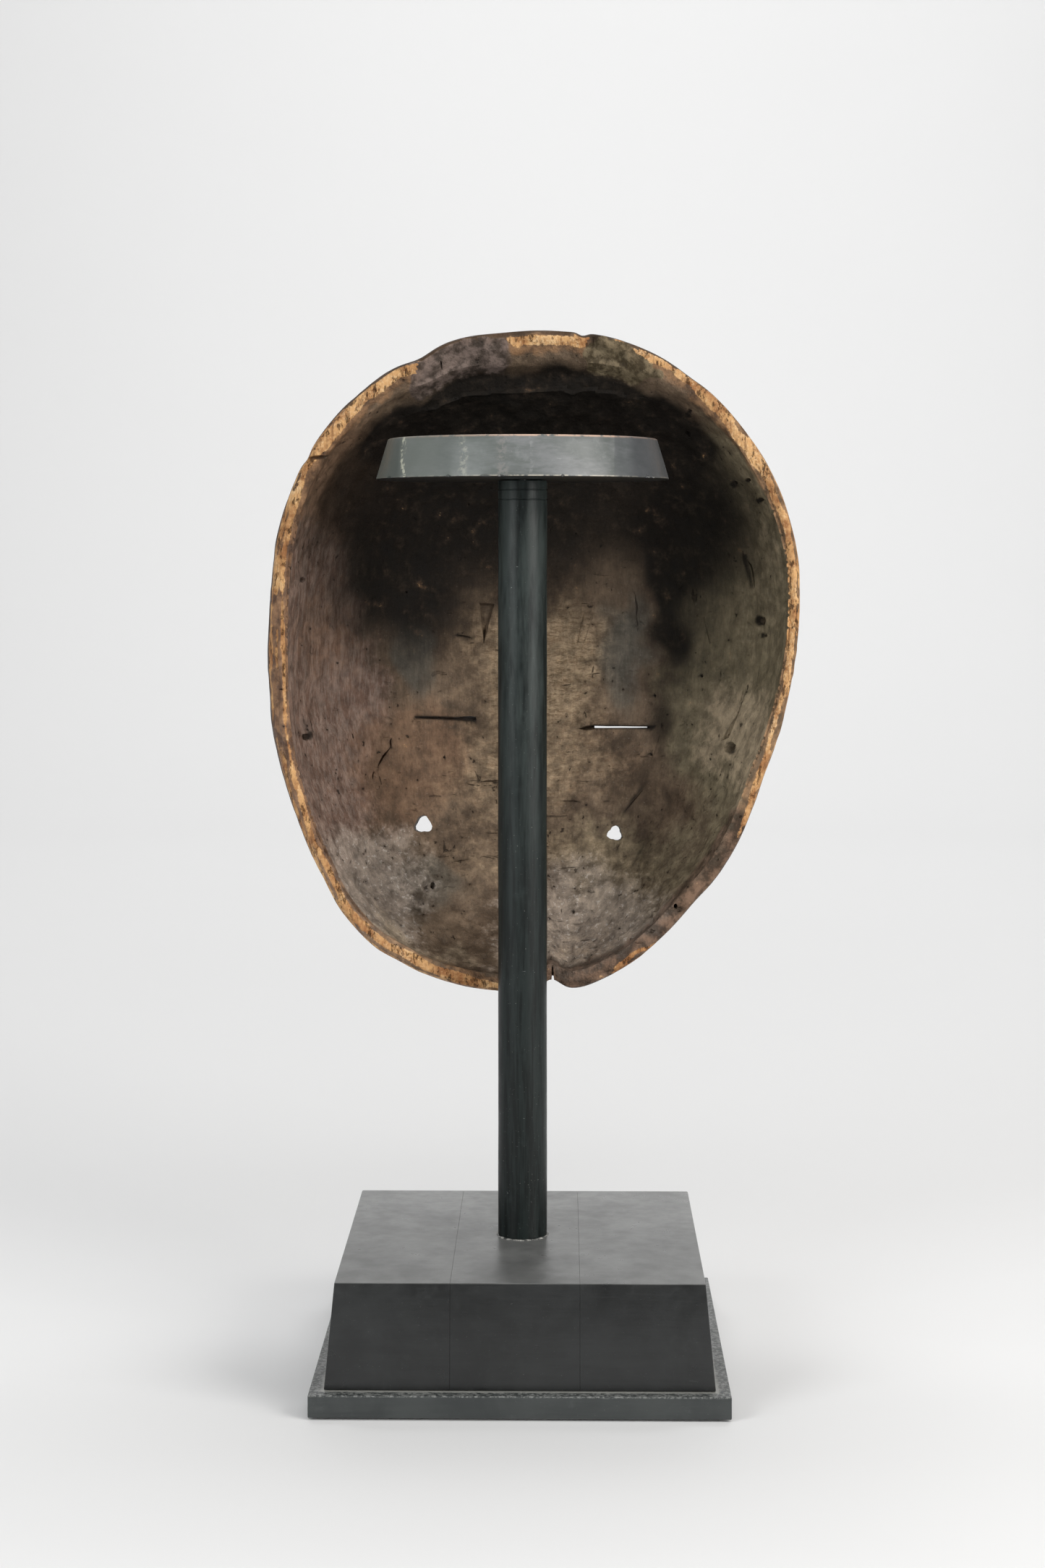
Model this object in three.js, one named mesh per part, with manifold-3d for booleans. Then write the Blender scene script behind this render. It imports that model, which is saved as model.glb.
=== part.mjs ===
// A carved wooden face mask, hung by its hollow back over the round head of a black-stained stand.
// Millimetres, +Z up. The origin is the centre of the felt's underside, where the stand rests.
// The mask's face looks along +Y, so its open hollow looks along -Y.
import * as THREE from "three";
import { mergeVertices } from "three/addons/utils/BufferGeometryUtils.js";
import Module from "manifold-3d";

const wasm = await Module();
wasm.setup();

// ---- driving dimensions ----
const GAP = 0.3; // between pieces that touch
const TURN = 2 * Math.PI;

// stand, from the table up
const FELT_SIDE = 170;
const FELT_THICK = 0.8;
const PLINTH_SIDE = 177;
const PLINTH_TOP = 10.5;
const BLOCK_FOOT_SIDE = 164.5;
const BLOCK_TOP_SIDE = 156.4;
const BLOCK_TOP = 54.7;
const GLUE_LINES_X = [-29.4, 25.3]; // the two joints between the block's three boards
const POST_RADIUS = 11;
const POST_SOCKET_DEPTH = 25;
const DISC_FOOT = 394.6;
const DISC_THICK = 18.2;
const DISC_FOOT_RADIUS = 66;
const DISC_TOP_RADIUS = 60.5;
const DISC_EDGE = 0.6; // the small round worn along the disc's two edges
const TENON_RADIUS = 6;
const TENON_LENGTH = 12;

// fasteners
const SHANK_CLEARANCE = 0.3;
const DISC_SCREW = { shank: 2, head: 4.2, headDepth: 2.4, length: 45 };
const PLINTH_SCREW = { shank: 2, head: 4.2, headDepth: 2.4, length: 32 };
const PLINTH_SCREW_REACH = 55; // each plinth screw's X and Y distance from the middle
const BOLT = { shank: 4, head: 7.5, headDepth: 5.3, length: 56 };
const BOLT_POCKET = { radius: 12, depth: 10 };
const WASHER = { inner: 4.5, outer: 10.5, thick: 1.6 };

// mask: a closed rim outline, a hollow behind it and a carved face in front of it
const MASK_TURN_DEG = 0.8; // how far the mask has swung round the post
const MASK_X = 4; // middle of the rim
const MASK_Z = 312;
const FACE_ROLL_DEG = 3; // the face hangs with its chin swung to -X
const RIM_FOOT = { y: 11.2, z: 161 }; // where the rim leans on the post
const RIM_LEAN_DEG = 2.4;
const RIM_ROUND = 2; // how far the rim's two edges stand back from its crest
// radius of the mask's outer edge every 15 degrees, from +X up over the crown
const OUTLINE = [
  122, 128.5, 137, 144.5, 151, 154, 152, 151.5, 148, 143, 134.5, 126.5,
  123, 125, 130, 138.5, 150, 152.5, 151.5, 148, 137, 128.5, 121, 119,
];
// every 45 degrees: how far the wall swells past the rim, and the rim's width
const SWELL = [1, 1, 1.5, 2.5, 7, 3.5, 1.5, 1];
const RIM_WIDTH = [5.5, 8, 17.5, 9, 4.5, 6.5, 8.5, 8];
const HOLLOW_DEPTH = 84;
const FACE_DEPTH = 96;
// every 45 degrees: how the wall closes over (1 is a parabola, 2 an ellipse, more is squarer)
const HOLLOW_WALL = [2.4, 1.9, 1.065, 1.8, 2.4, 2.2, 2.0, 2.2];
const FACE_WALL = [2.7, 2.2, 1.4, 2.2, 2.7, 2.6, 2.3, 2.6];
const SWELL_AT = 0.25; // the share of the face's depth where the wall swells most
const ROUND_STEPS = 72;
const HOLLOW_RINGS = 13;
const FACE_RINGS = 16;

// raised parts of the face: place, spread and height
const FEATURES = [
  { at: [-38, -14], spread: [26, 7], height: 6 }, // brows
  { at: [38, -14], spread: [26, 7], height: 6 },
  { at: [0, -48], spread: [9, 28], height: 15 }, // nose
  { at: [0, -74], spread: [14, 8], height: 8 },
  { at: [-41, -34], spread: [21, 8], height: 5 }, // eyelids
  { at: [41, -34], spread: [21, 8], height: 5 },
  { at: [0, -108], spread: [23, 8], height: 9 }, // lips
  { at: [0, -134], spread: [24, 11], height: 5 }, // chin
];
const EYE_SLITS = [
  { x: -38, z: 280.5, length: 29.5 },
  { x: 44, z: 276.2, length: 33 },
];
const SLIT_HEIGHT = 1.6;
const TIE_HOLES = [
  { x: -48.3, z: 229.6, radius: 3.8 },
  { x: 44.6, z: 225.2, radius: 3.1 },
];

// ---- helpers ----
const radians = THREE.MathUtils.degToRad;

// Smooth value at an angle, between values spaced evenly round the circle.
function around(values, angle) {
  const place = ((((angle / TURN) % 1) + 1) % 1) * values.length;
  const i = Math.floor(place);
  const f = place - i;
  const [a, b, c, d] = [-1, 0, 1, 2].map((k) => values[(i + k + values.length) % values.length]);
  const curve = 3 * (b - c) + d - a;
  return b + 0.5 * f * (c - a + f * (2 * a - 5 * b + 4 * c - d + f * curve));
}

function solid(geometry) {
  const bare = geometry.clone();
  bare.deleteAttribute("normal");
  bare.deleteAttribute("uv");
  const merged = mergeVertices(bare, 1e-4);
  return new wasm.Manifold(
    new wasm.Mesh({
      numProp: 3,
      vertProperties: new Float32Array(merged.attributes.position.array),
      triVerts: new Uint32Array(merged.index.array),
    }),
  );
}

function geometryOf(body) {
  const mesh = body.getMesh();
  const geometry = new THREE.BufferGeometry();
  geometry.setAttribute("position", new THREE.BufferAttribute(new Float32Array(mesh.vertProperties), 3));
  geometry.setIndex(new THREE.BufferAttribute(new Uint32Array(mesh.triVerts), 1));
  geometry.computeVertexNormals();
  return geometry;
}

function box(sizeX, sizeY, lowZ, highZ, x = 0, y = 0) {
  return new THREE.BoxGeometry(sizeX, sizeY, highZ - lowZ).translate(x, y, (lowZ + highZ) / 2);
}

// A turned piece standing on the Z axis at (x, y), from [radius, z] points that start and end on it.
function turned(points, segments, x = 0, y = 0) {
  const profile = points.map(([r, z]) => new THREE.Vector2(r, z));
  return new THREE.LatheGeometry(profile, segments).rotateX(Math.PI / 2).translate(x, y, 0);
}

function rod(radius, lowZ, highZ, segments = 24, x = 0, y = 0) {
  return turned([[0, lowZ], [radius, lowZ], [radius, highZ], [0, highZ]], segments, x, y);
}

// A square pyramid cut flat: the stand's block before it is parted into boards.
function taperedBlock(footSide, topSide, lowZ, highZ) {
  const corner = Math.SQRT1_2;
  return new THREE.CylinderGeometry(topSide * corner, footSide * corner, highZ - lowZ, 4)
    .rotateY(Math.PI / 4)
    .rotateX(Math.PI / 2)
    .translate(0, 0, (lowZ + highZ) / 2);
}

// A countersunk screw: its head's flat face at headZ and its tip the other way.
function countersunkScrew(size, headZ, way, grow = 0, x = 0, y = 0) {
  const tip = headZ + way * size.length;
  const shank = size.shank + grow;
  const head = size.head + grow;
  const points = [
    [0, headZ],
    [head, headZ],
    [head, headZ + way * 0.4],
    [shank, headZ + way * (size.headDepth + grow)],
    [shank, tip - way * (2 * size.shank - grow)],
    [0, tip + way * grow],
  ];
  return turned(way > 0 ? points : points.reverse(), 16, x, y);
}

// ---- mask ----
function rimPlaneY(z) {
  return RIM_FOOT.y + (z - RIM_FOOT.z) * Math.tan(radians(RIM_LEAN_DEG));
}

function maskPoint(radius, angle, depth) {
  const x = MASK_X + radius * Math.cos(angle);
  const z = MASK_Z + radius * Math.sin(angle);
  return [x, rimPlaneY(z) + depth, z];
}

function faceRelief(radius, angle) {
  const turned = angle + radians(FACE_ROLL_DEG);
  const across = radius * Math.cos(turned);
  const up = radius * Math.sin(turned);
  return FEATURES.reduce((sum, { at, spread, height }) => {
    const reach = ((across - at[0]) / spread[0]) ** 2 + ((up - at[1]) / spread[1]) ** 2;
    return sum + height * Math.exp(-reach / 2);
  }, 0);
}

// A point of the hollow; t runs from 0 at its deepest point to a quarter turn at the rim.
function hollowPoint(t, angle) {
  const edge = around(OUTLINE, angle) - around(SWELL, angle) - around(RIM_WIDTH, angle);
  const share = Math.cos(t);
  const radius = edge * Math.sqrt(1 - share ** around(HOLLOW_WALL, angle));
  return maskPoint(radius, angle, RIM_ROUND + (HOLLOW_DEPTH - RIM_ROUND) * share);
}

// A point of the face side, from its middle to the rim in the same way.
function facePoint(t, angle) {
  const swell = around(SWELL, angle);
  const share = Math.cos(t);
  const bulge = (share / SWELL_AT) * Math.exp(1 - share / SWELL_AT) * Math.sin(t) ** 2;
  const wall = (around(OUTLINE, angle) - swell) * Math.sqrt(1 - share ** around(FACE_WALL, angle));
  const radius = wall + swell * bulge;
  const relief = faceRelief(radius, angle) * share;
  return maskPoint(radius, angle, RIM_ROUND + (FACE_DEPTH - RIM_ROUND) * share + relief);
}

function crestPoint(angle) {
  const edge = around(OUTLINE, angle) - around(SWELL, angle);
  return maskPoint(edge - around(RIM_WIDTH, angle) / 2, angle, 0);
}

function maskBlank() {
  const positions = [...hollowPoint(0, 0)];
  const quarter = Math.PI / 2;
  const rings = [];
  const addRing = (pointAt) => {
    rings.push(positions.length / 3);
    for (let k = 0; k < ROUND_STEPS; k++) positions.push(...pointAt((k / ROUND_STEPS) * TURN));
  };
  for (let i = 1; i <= HOLLOW_RINGS; i++) {
    addRing((angle) => hollowPoint((i / HOLLOW_RINGS) * quarter, angle));
  }
  addRing(crestPoint);
  for (let i = FACE_RINGS; i >= 1; i--) {
    addRing((angle) => facePoint((i / FACE_RINGS) * quarter, angle));
  }
  const facePole = positions.length / 3;
  positions.push(...facePoint(0, 0));

  const faces = [];
  for (let k = 0; k < ROUND_STEPS; k++) {
    const next = (k + 1) % ROUND_STEPS;
    faces.push(0, rings[0] + k, rings[0] + next);
    for (let r = 0; r + 1 < rings.length; r++) {
      faces.push(rings[r] + k, rings[r + 1] + k, rings[r + 1] + next);
      faces.push(rings[r] + k, rings[r + 1] + next, rings[r] + next);
    }
    faces.push(rings.at(-1) + next, rings.at(-1) + k, facePole);
  }
  const geometry = new THREE.BufferGeometry();
  geometry.setAttribute("position", new THREE.Float32BufferAttribute(positions, 3));
  geometry.setIndex(faces);
  return geometry;
}

function maskShell() {
  const cutLength = 2 * FACE_DEPTH;
  let body = solid(maskBlank());
  for (const slit of EYE_SLITS) {
    const cutter = new THREE.BoxGeometry(slit.length, cutLength, SLIT_HEIGHT);
    body = body.subtract(solid(cutter.translate(slit.x, cutLength / 2, slit.z)));
  }
  for (const hole of TIE_HOLES) {
    const cutter = new THREE.CylinderGeometry(hole.radius, hole.radius, cutLength, 14);
    body = body.subtract(solid(cutter.translate(hole.x, cutLength / 2, hole.z)));
  }
  return geometryOf(body);
}

// ---- stand ----
const plinthFoot = FELT_THICK + GAP;
const blockFoot = PLINTH_TOP + GAP;
const socketFloor = BLOCK_TOP - POST_SOCKET_DEPTH;
const postTop = DISC_FOOT - GAP;
const discTop = DISC_FOOT + DISC_THICK;
const washerTop = blockFoot + BOLT_POCKET.depth - GAP;
const boltSeat = washerTop - WASHER.thick - GAP;
const plinthScrewHead = plinthFoot;
const plinthScrewPlaces = [-1, 1].flatMap((sx) =>
  [-1, 1].map((sy) => [sx * PLINTH_SCREW_REACH, sy * PLINTH_SCREW_REACH]),
);

function boltShankHole(highZ) {
  return solid(rod(BOLT.shank + SHANK_CLEARANCE, 0, highZ));
}

function plinthScrewHoles(body) {
  return plinthScrewPlaces.reduce(
    (left, [x, y]) =>
      left.subtract(solid(countersunkScrew(PLINTH_SCREW, plinthScrewHead, 1, SHANK_CLEARANCE, x, y))),
    body,
  );
}

function plinthBoard() {
  const access = solid(rod(BOLT_POCKET.radius, 0, blockFoot));
  const board = solid(box(PLINTH_SIDE, PLINTH_SIDE, plinthFoot, PLINTH_TOP));
  return geometryOf(plinthScrewHoles(board.subtract(access)));
}

function blockBoard(lowX, highX) {
  const whole = solid(taperedBlock(BLOCK_FOOT_SIDE, BLOCK_TOP_SIDE, blockFoot, BLOCK_TOP));
  const slab = solid(box(highX - lowX, 2 * PLINTH_SIDE, 0, 2 * BLOCK_TOP, (lowX + highX) / 2));
  const socket = solid(rod(POST_RADIUS + GAP, socketFloor, BLOCK_TOP + 1, 48));
  const pocket = solid(rod(BOLT_POCKET.radius, 0, blockFoot + BOLT_POCKET.depth));
  const board = whole.intersect(slab).subtract(socket).subtract(pocket).subtract(boltShankHole(BLOCK_TOP));
  return geometryOf(plinthScrewHoles(board));
}

function post() {
  const tenonTop = DISC_FOOT + TENON_LENGTH;
  const shaft = turned(
    [
      [0, socketFloor + GAP],
      [POST_RADIUS, socketFloor + GAP],
      [POST_RADIUS, postTop],
      [TENON_RADIUS, postTop],
      [TENON_RADIUS, tenonTop],
      [0, tenonTop],
    ],
    48,
  );
  const boltHole = boltShankHole(boltSeat + BOLT.length + 1);
  const screwHole = solid(countersunkScrew(DISC_SCREW, discTop - GAP, -1, SHANK_CLEARANCE));
  return geometryOf(solid(shaft).subtract(boltHole).subtract(screwHole));
}

function supportDisc() {
  const blank = turned(
    [
      [0, DISC_FOOT],
      [DISC_FOOT_RADIUS - DISC_EDGE, DISC_FOOT],
      [DISC_FOOT_RADIUS, DISC_FOOT + DISC_EDGE],
      [DISC_TOP_RADIUS, discTop - DISC_EDGE],
      [DISC_TOP_RADIUS - DISC_EDGE, discTop],
      [0, discTop],
    ],
    72,
  );
  const mortise = solid(rod(TENON_RADIUS + GAP, DISC_FOOT - 1, DISC_FOOT + TENON_LENGTH + GAP));
  const screwHole = solid(countersunkScrew(DISC_SCREW, discTop, -1, SHANK_CLEARANCE));
  return geometryOf(solid(blank).subtract(mortise).subtract(screwHole));
}

function postBolt() {
  const headFoot = boltSeat - BOLT.headDepth;
  const head = new THREE.CylinderGeometry(BOLT.head, BOLT.head, BOLT.headDepth, 6)
    .rotateX(Math.PI / 2)
    .translate(0, 0, headFoot + BOLT.headDepth / 2);
  const shank = rod(BOLT.shank, boltSeat - 1, boltSeat + BOLT.length, 16);
  return geometryOf(solid(head).add(solid(shank)));
}

function washer() {
  const { inner, outer, thick } = WASHER;
  const foot = washerTop - thick;
  const ring = [[inner, foot], [outer, foot], [outer, washerTop], [inner, washerTop], [inner, foot]];
  return turned(ring, 32);
}

// ---- materials ----
const carvedWood = { color: 0x4a3628, roughness: 0.72, metalness: 0 };
const blackStain = { color: 0x24282a, roughness: 0.45, metalness: 0 };
const feltCloth = { color: 0x1c211f, roughness: 0.95, metalness: 0 };
const zincSteel = { color: 0x9a9c9e, roughness: 0.4, metalness: 1 };

function piece(name, geometry, finish) {
  const mesh = new THREE.Mesh(geometry, new THREE.MeshStandardMaterial(finish));
  mesh.name = name;
  return mesh;
}

// ---- assembly ----
const half = GAP / 2;
const [leftLine, rightLine] = GLUE_LINES_X;
const stand = new THREE.Group();
stand.add(
  piece("base_felt", box(FELT_SIDE, FELT_SIDE, 0, FELT_THICK), feltCloth),
  piece("plinth_board", plinthBoard(), blackStain),
  piece("block_board_left", blockBoard(-PLINTH_SIDE, leftLine - half), blackStain),
  piece("block_board_middle", blockBoard(leftLine + half, rightLine - half), blackStain),
  piece("block_board_right", blockBoard(rightLine + half, PLINTH_SIDE), blackStain),
  piece("post", post(), blackStain),
  piece("support_disc", supportDisc(), blackStain),
  piece("disc_screw", countersunkScrew(DISC_SCREW, discTop - GAP, -1), zincSteel),
  piece("post_bolt", postBolt(), zincSteel),
  piece("post_bolt_washer", washer(), zincSteel),
);
plinthScrewPlaces.forEach(([x, y], i) => {
  const screw = countersunkScrew(PLINTH_SCREW, plinthScrewHead + GAP, 1, 0, x, y);
  stand.add(piece(`plinth_screw_${i + 1}`, screw, zincSteel));
});

const mask = new THREE.Group();
mask.rotation.z = radians(MASK_TURN_DEG);
mask.add(piece("mask_shell", maskShell(), carvedWood));

const displayedMask = new THREE.Group();
displayedMask.add(stand, mask);

export default displayedMask;
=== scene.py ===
"""A carved wooden face mask hung on its black-stained display stand, seen from its hollow back.

The stand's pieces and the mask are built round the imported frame, in metres, +Z up.
Sizes below are in millimetres; MM turns them into metres.
"""
import math

import bmesh
import bpy
import numpy as np
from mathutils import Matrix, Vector


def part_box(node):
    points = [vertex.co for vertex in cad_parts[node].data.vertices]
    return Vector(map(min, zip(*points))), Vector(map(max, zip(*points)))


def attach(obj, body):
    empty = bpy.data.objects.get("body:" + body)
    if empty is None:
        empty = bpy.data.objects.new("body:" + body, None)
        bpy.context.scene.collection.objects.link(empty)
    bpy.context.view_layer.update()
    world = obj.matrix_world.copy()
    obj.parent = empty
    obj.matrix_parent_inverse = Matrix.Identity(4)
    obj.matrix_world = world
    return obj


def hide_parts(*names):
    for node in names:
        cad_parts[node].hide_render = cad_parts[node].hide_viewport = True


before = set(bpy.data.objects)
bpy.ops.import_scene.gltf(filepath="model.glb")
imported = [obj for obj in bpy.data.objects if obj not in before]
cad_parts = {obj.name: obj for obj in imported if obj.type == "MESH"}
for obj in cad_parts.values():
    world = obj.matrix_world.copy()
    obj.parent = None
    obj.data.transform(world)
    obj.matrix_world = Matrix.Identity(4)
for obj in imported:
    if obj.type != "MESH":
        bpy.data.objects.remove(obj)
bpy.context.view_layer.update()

MM = 0.001
TURN = 2 * math.pi


# ---------------------------------------------------------------- places taken from the frame
def box_mm(node):
    """Lowest and highest corner of a frame node, in millimetres."""
    low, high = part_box(node)
    return np.array(low) / MM, np.array(high) / MM


MASK_LOW, MASK_HIGH = box_mm("mask_shell")
DISC_LOW, DISC_HIGH = box_mm("support_disc")
POST_HIGH = box_mm("post")[1]
PLINTH_LOW, PLINTH_HIGH = box_mm("plinth_board")
FELT_LOW, FELT_HIGH = box_mm("base_felt")
BOARD_NAMES = ["block_board_left", "block_board_middle", "block_board_right"]
BOARD_BOXES = [box_mm(name) for name in BOARD_NAMES]
BLOCK_FOOT = BOARD_BOXES[0][0][2]
BLOCK_TOP = BOARD_BOXES[0][1][2]
BLOCK_HALF_FOOT = BOARD_BOXES[2][1][0]
BLOCK_TAPER = 4.05  # how far each side of the block leans in from foot to top
POST_RADIUS = POST_HIGH[0]
DISC_FOOT_RADIUS = DISC_HIGH[0]
DISC_TOP_RADIUS = DISC_FOOT_RADIUS - 5.5

# ---------------------------------------------------------------- shape of the mask
MASK_TURN = math.radians(0.8)
MASK_X = 4.0
MASK_Z = (MASK_LOW[2] + MASK_HIGH[2]) / 2
RIM_FOOT_Y = MASK_LOW[1] + 0.08
RIM_LEAN = math.tan(math.radians(2.4))
FACE_ROLL = math.radians(3)
RIM_ROUND = 2.0
HOLLOW_DEPTH = 84.0
FACE_DEPTH = 96.0
SWELL_AT = 0.25
# radius of the mask's outer edge every 15 degrees, from +X up over the crown
OUTLINE = [122, 128.5, 137, 144.5, 151, 154, 152, 151.5, 148, 143, 134.5, 126.5,
           123, 125, 130, 138.5, 150, 152.5, 151.5, 148, 137, 128.5, 121, 119]
# every 45 degrees
SWELL = [1, 1, 1.5, 2.5, 7, 3.5, 1.5, 1]
RIM_WIDTH = [5.5, 8, 17.5, 9, 4.5, 6.5, 8.5, 8]
HOLLOW_WALL = [2.4, 1.9, 1.065, 1.8, 2.4, 2.2, 2.0, 2.2]
FACE_WALL = [2.7, 2.2, 1.4, 2.2, 2.7, 2.6, 2.3, 2.6]
# knocks and swellings of the outline: angle, spread in degrees, millimetres outward
OUTLINE_WEAR = [(102, 4.5, 1.0), (110.5, 2.2, -1.6), (117, 4, 0.6), (81, 0.7, -1.4), (90, 4, 0.8),
                (273.6, 1.3, -5.0), (268, 3, 0.6), (279, 3, 1.2), (138, 0.9, -1.2), (61, 2, -0.7),
                (304, 3, -0.8), (231, 3, 0.8), (246, 2, -0.6), (20, 3, 0.5), (334, 3, -0.6)]
# how wide the bare worn band is round the rim, in mm, at angles in degrees
BARE_BAND = {0: 5, 30: 6, 45: 7, 60: 7, 71: 6.5, 73: 2, 79.2: 1.5, 80.2: 8, 87: 11, 93: 9, 95.5: 2, 98: 0,
             110: 0.3, 112: 7, 120: 8, 134: 7.5, 138: 4, 150: 5, 165: 4, 180: 4, 195: 3.5, 210: 4, 225: 5,
             240: 6, 255: 7, 262: 6, 266: 2.5, 272: 1.5, 276: 1, 284: 2, 288: 5, 292: 2.5, 300: 1.2,
             315: 1.5, 322: 2.5, 330: 4, 345: 4.5}
GRID_STEPS = 196
RIM_STEPS = 9


def around(values, angle):
    """Smooth value at an angle, between values spaced evenly round the circle."""
    values = np.asarray(values, float)
    place = (angle / TURN % 1) * len(values)
    i = np.floor(place).astype(int)
    f = place - i
    a, b, c, d = (values[(i + k) % len(values)] for k in (-1, 0, 1, 2))
    return b + 0.5 * f * (c - a + f * (2 * a - 5 * b + 4 * c - d + f * (3 * (b - c) + d - a)))


def outline_radius(angle):
    wear = np.zeros_like(angle)
    for centre, spread, amount in OUTLINE_WEAR:
        off = (np.degrees(angle) - centre + 180) % 360 - 180
        wear += amount * np.exp(-0.5 * (off / spread) ** 2)
    return around(OUTLINE, angle) + wear


def rim_edges(angle):
    """Radii of the rim's inner and outer edge."""
    outer = outline_radius(angle) - around(SWELL, angle)
    return outer - around(RIM_WIDTH, angle), outer


def bare_band(angle):
    return np.interp(np.degrees(angle) % 360, list(BARE_BAND), list(BARE_BAND.values()), period=360)


def to_frame(points):
    """From the mask's own (across, depth behind the rim plane, up) in mm to the frame, in mm."""
    x = points[:, 0] + MASK_X
    z = points[:, 2] + MASK_Z
    y = points[:, 1] + RIM_FOOT_Y + (z - MASK_LOW[2]) * RIM_LEAN
    c, s = math.cos(MASK_TURN), math.sin(MASK_TURN)
    return np.column_stack([x * c - y * s, x * s + y * c, z])


def from_frame(points):
    c, s = math.cos(MASK_TURN), math.sin(MASK_TURN)
    x = points[:, 0] * c + points[:, 1] * s
    y = -points[:, 0] * s + points[:, 1] * c
    z = points[:, 2]
    depth = y - RIM_FOOT_Y - (z - MASK_LOW[2]) * RIM_LEAN
    return np.column_stack([x - MASK_X, depth, z - MASK_Z])


# ---------------------------------------------------------------- noise for carving
def lattice(ix, iy, iz, seed):
    h = (ix * 374761393 + iy * 668265263 + iz * 1274126177 + seed * 974711) & 0xFFFFFFFF
    h = ((h ^ (h >> 13)) * 1103515245) & 0xFFFFFFFF
    h = ((h ^ (h >> 16)) * 2246822519) & 0xFFFFFFFF
    return ((h >> 8) & 0xFFFF) / 32767.5 - 1


def noise(points, size, seed=0):
    """Smooth noise from -1 to 1; size is the feature size in mm, one number or one for each axis."""
    p = points / np.asarray(size, float)
    base = np.floor(p).astype(np.int64)
    f = p - base
    f = f * f * f * (f * (f * 6 - 15) + 10)
    total = np.zeros(len(p))
    for dx in (0, 1):
        for dy in (0, 1):
            for dz in (0, 1):
                weight = (np.where(dx, f[:, 0], 1 - f[:, 0]) * np.where(dy, f[:, 1], 1 - f[:, 1])
                          * np.where(dz, f[:, 2], 1 - f[:, 2]))
                total += weight * lattice(base[:, 0] + dx, base[:, 1] + dy, base[:, 2] + dz, seed)
    return total


def rough_noise(points, size, seed=0, layers=3):
    """Several layers of noise, each half the size and half the height of the last."""
    size = np.asarray(size, float)
    return sum(noise(points, size / 2 ** k, seed + k) / 2 ** k for k in range(layers))


def smooth(low, high, value):
    t = np.clip((value - low) / (high - low), 0, 1)
    return t * t * (3 - 2 * t)


def blob(points, centre, radii, soft=0.6, tilt=0.0):
    """1 inside an ellipse seen along the mask's depth, falling to 0 past its edge."""
    c, s = math.cos(math.radians(tilt)), math.sin(math.radians(tilt))
    dx = points[:, 0] - centre[0]
    dz = points[:, 2] - centre[1]
    reach = np.hypot((dx * c + dz * s) / radii[0], (dz * c - dx * s) / radii[1])
    return 1 - smooth(1 - soft, 1 + soft, reach)


def patches(points, *rows):
    """Soft ellipses added up: strength, centre, radii and, if wanted, softness and tilt."""
    return sum(strength * blob(points, centre, radii, *rest) for strength, centre, radii, *rest in rows)


def stroke(points, start, end, width):
    """1 along a line seen along the mask's depth, falling to 0 at its width."""
    a, b = np.array(start, float), np.array(end, float)
    p = points[:, [0, 2]]
    t = np.clip((p - a) @ (b - a) / ((b - a) @ (b - a)), 0, 1)
    gap = np.linalg.norm(p - (a + t[:, None] * (b - a)), axis=1)
    return 1 - smooth(0, width, gap)


# ---------------------------------------------------------------- the carved face
def hump(u, v, centre, radii, power=2.0):
    """A rounded raised oval, 1 at its middle and 0 at its edge."""
    reach = np.abs((u - centre[0]) / radii[0]) ** power + np.abs((v - centre[1]) / radii[1]) ** power
    return np.clip(1 - reach, 0, 1) ** 0.6


def soft_hump(u, v, centre, spread):
    return np.exp(-0.5 * (((u - centre[0]) / spread[0]) ** 2 + ((v - centre[1]) / spread[1]) ** 2))


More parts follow.
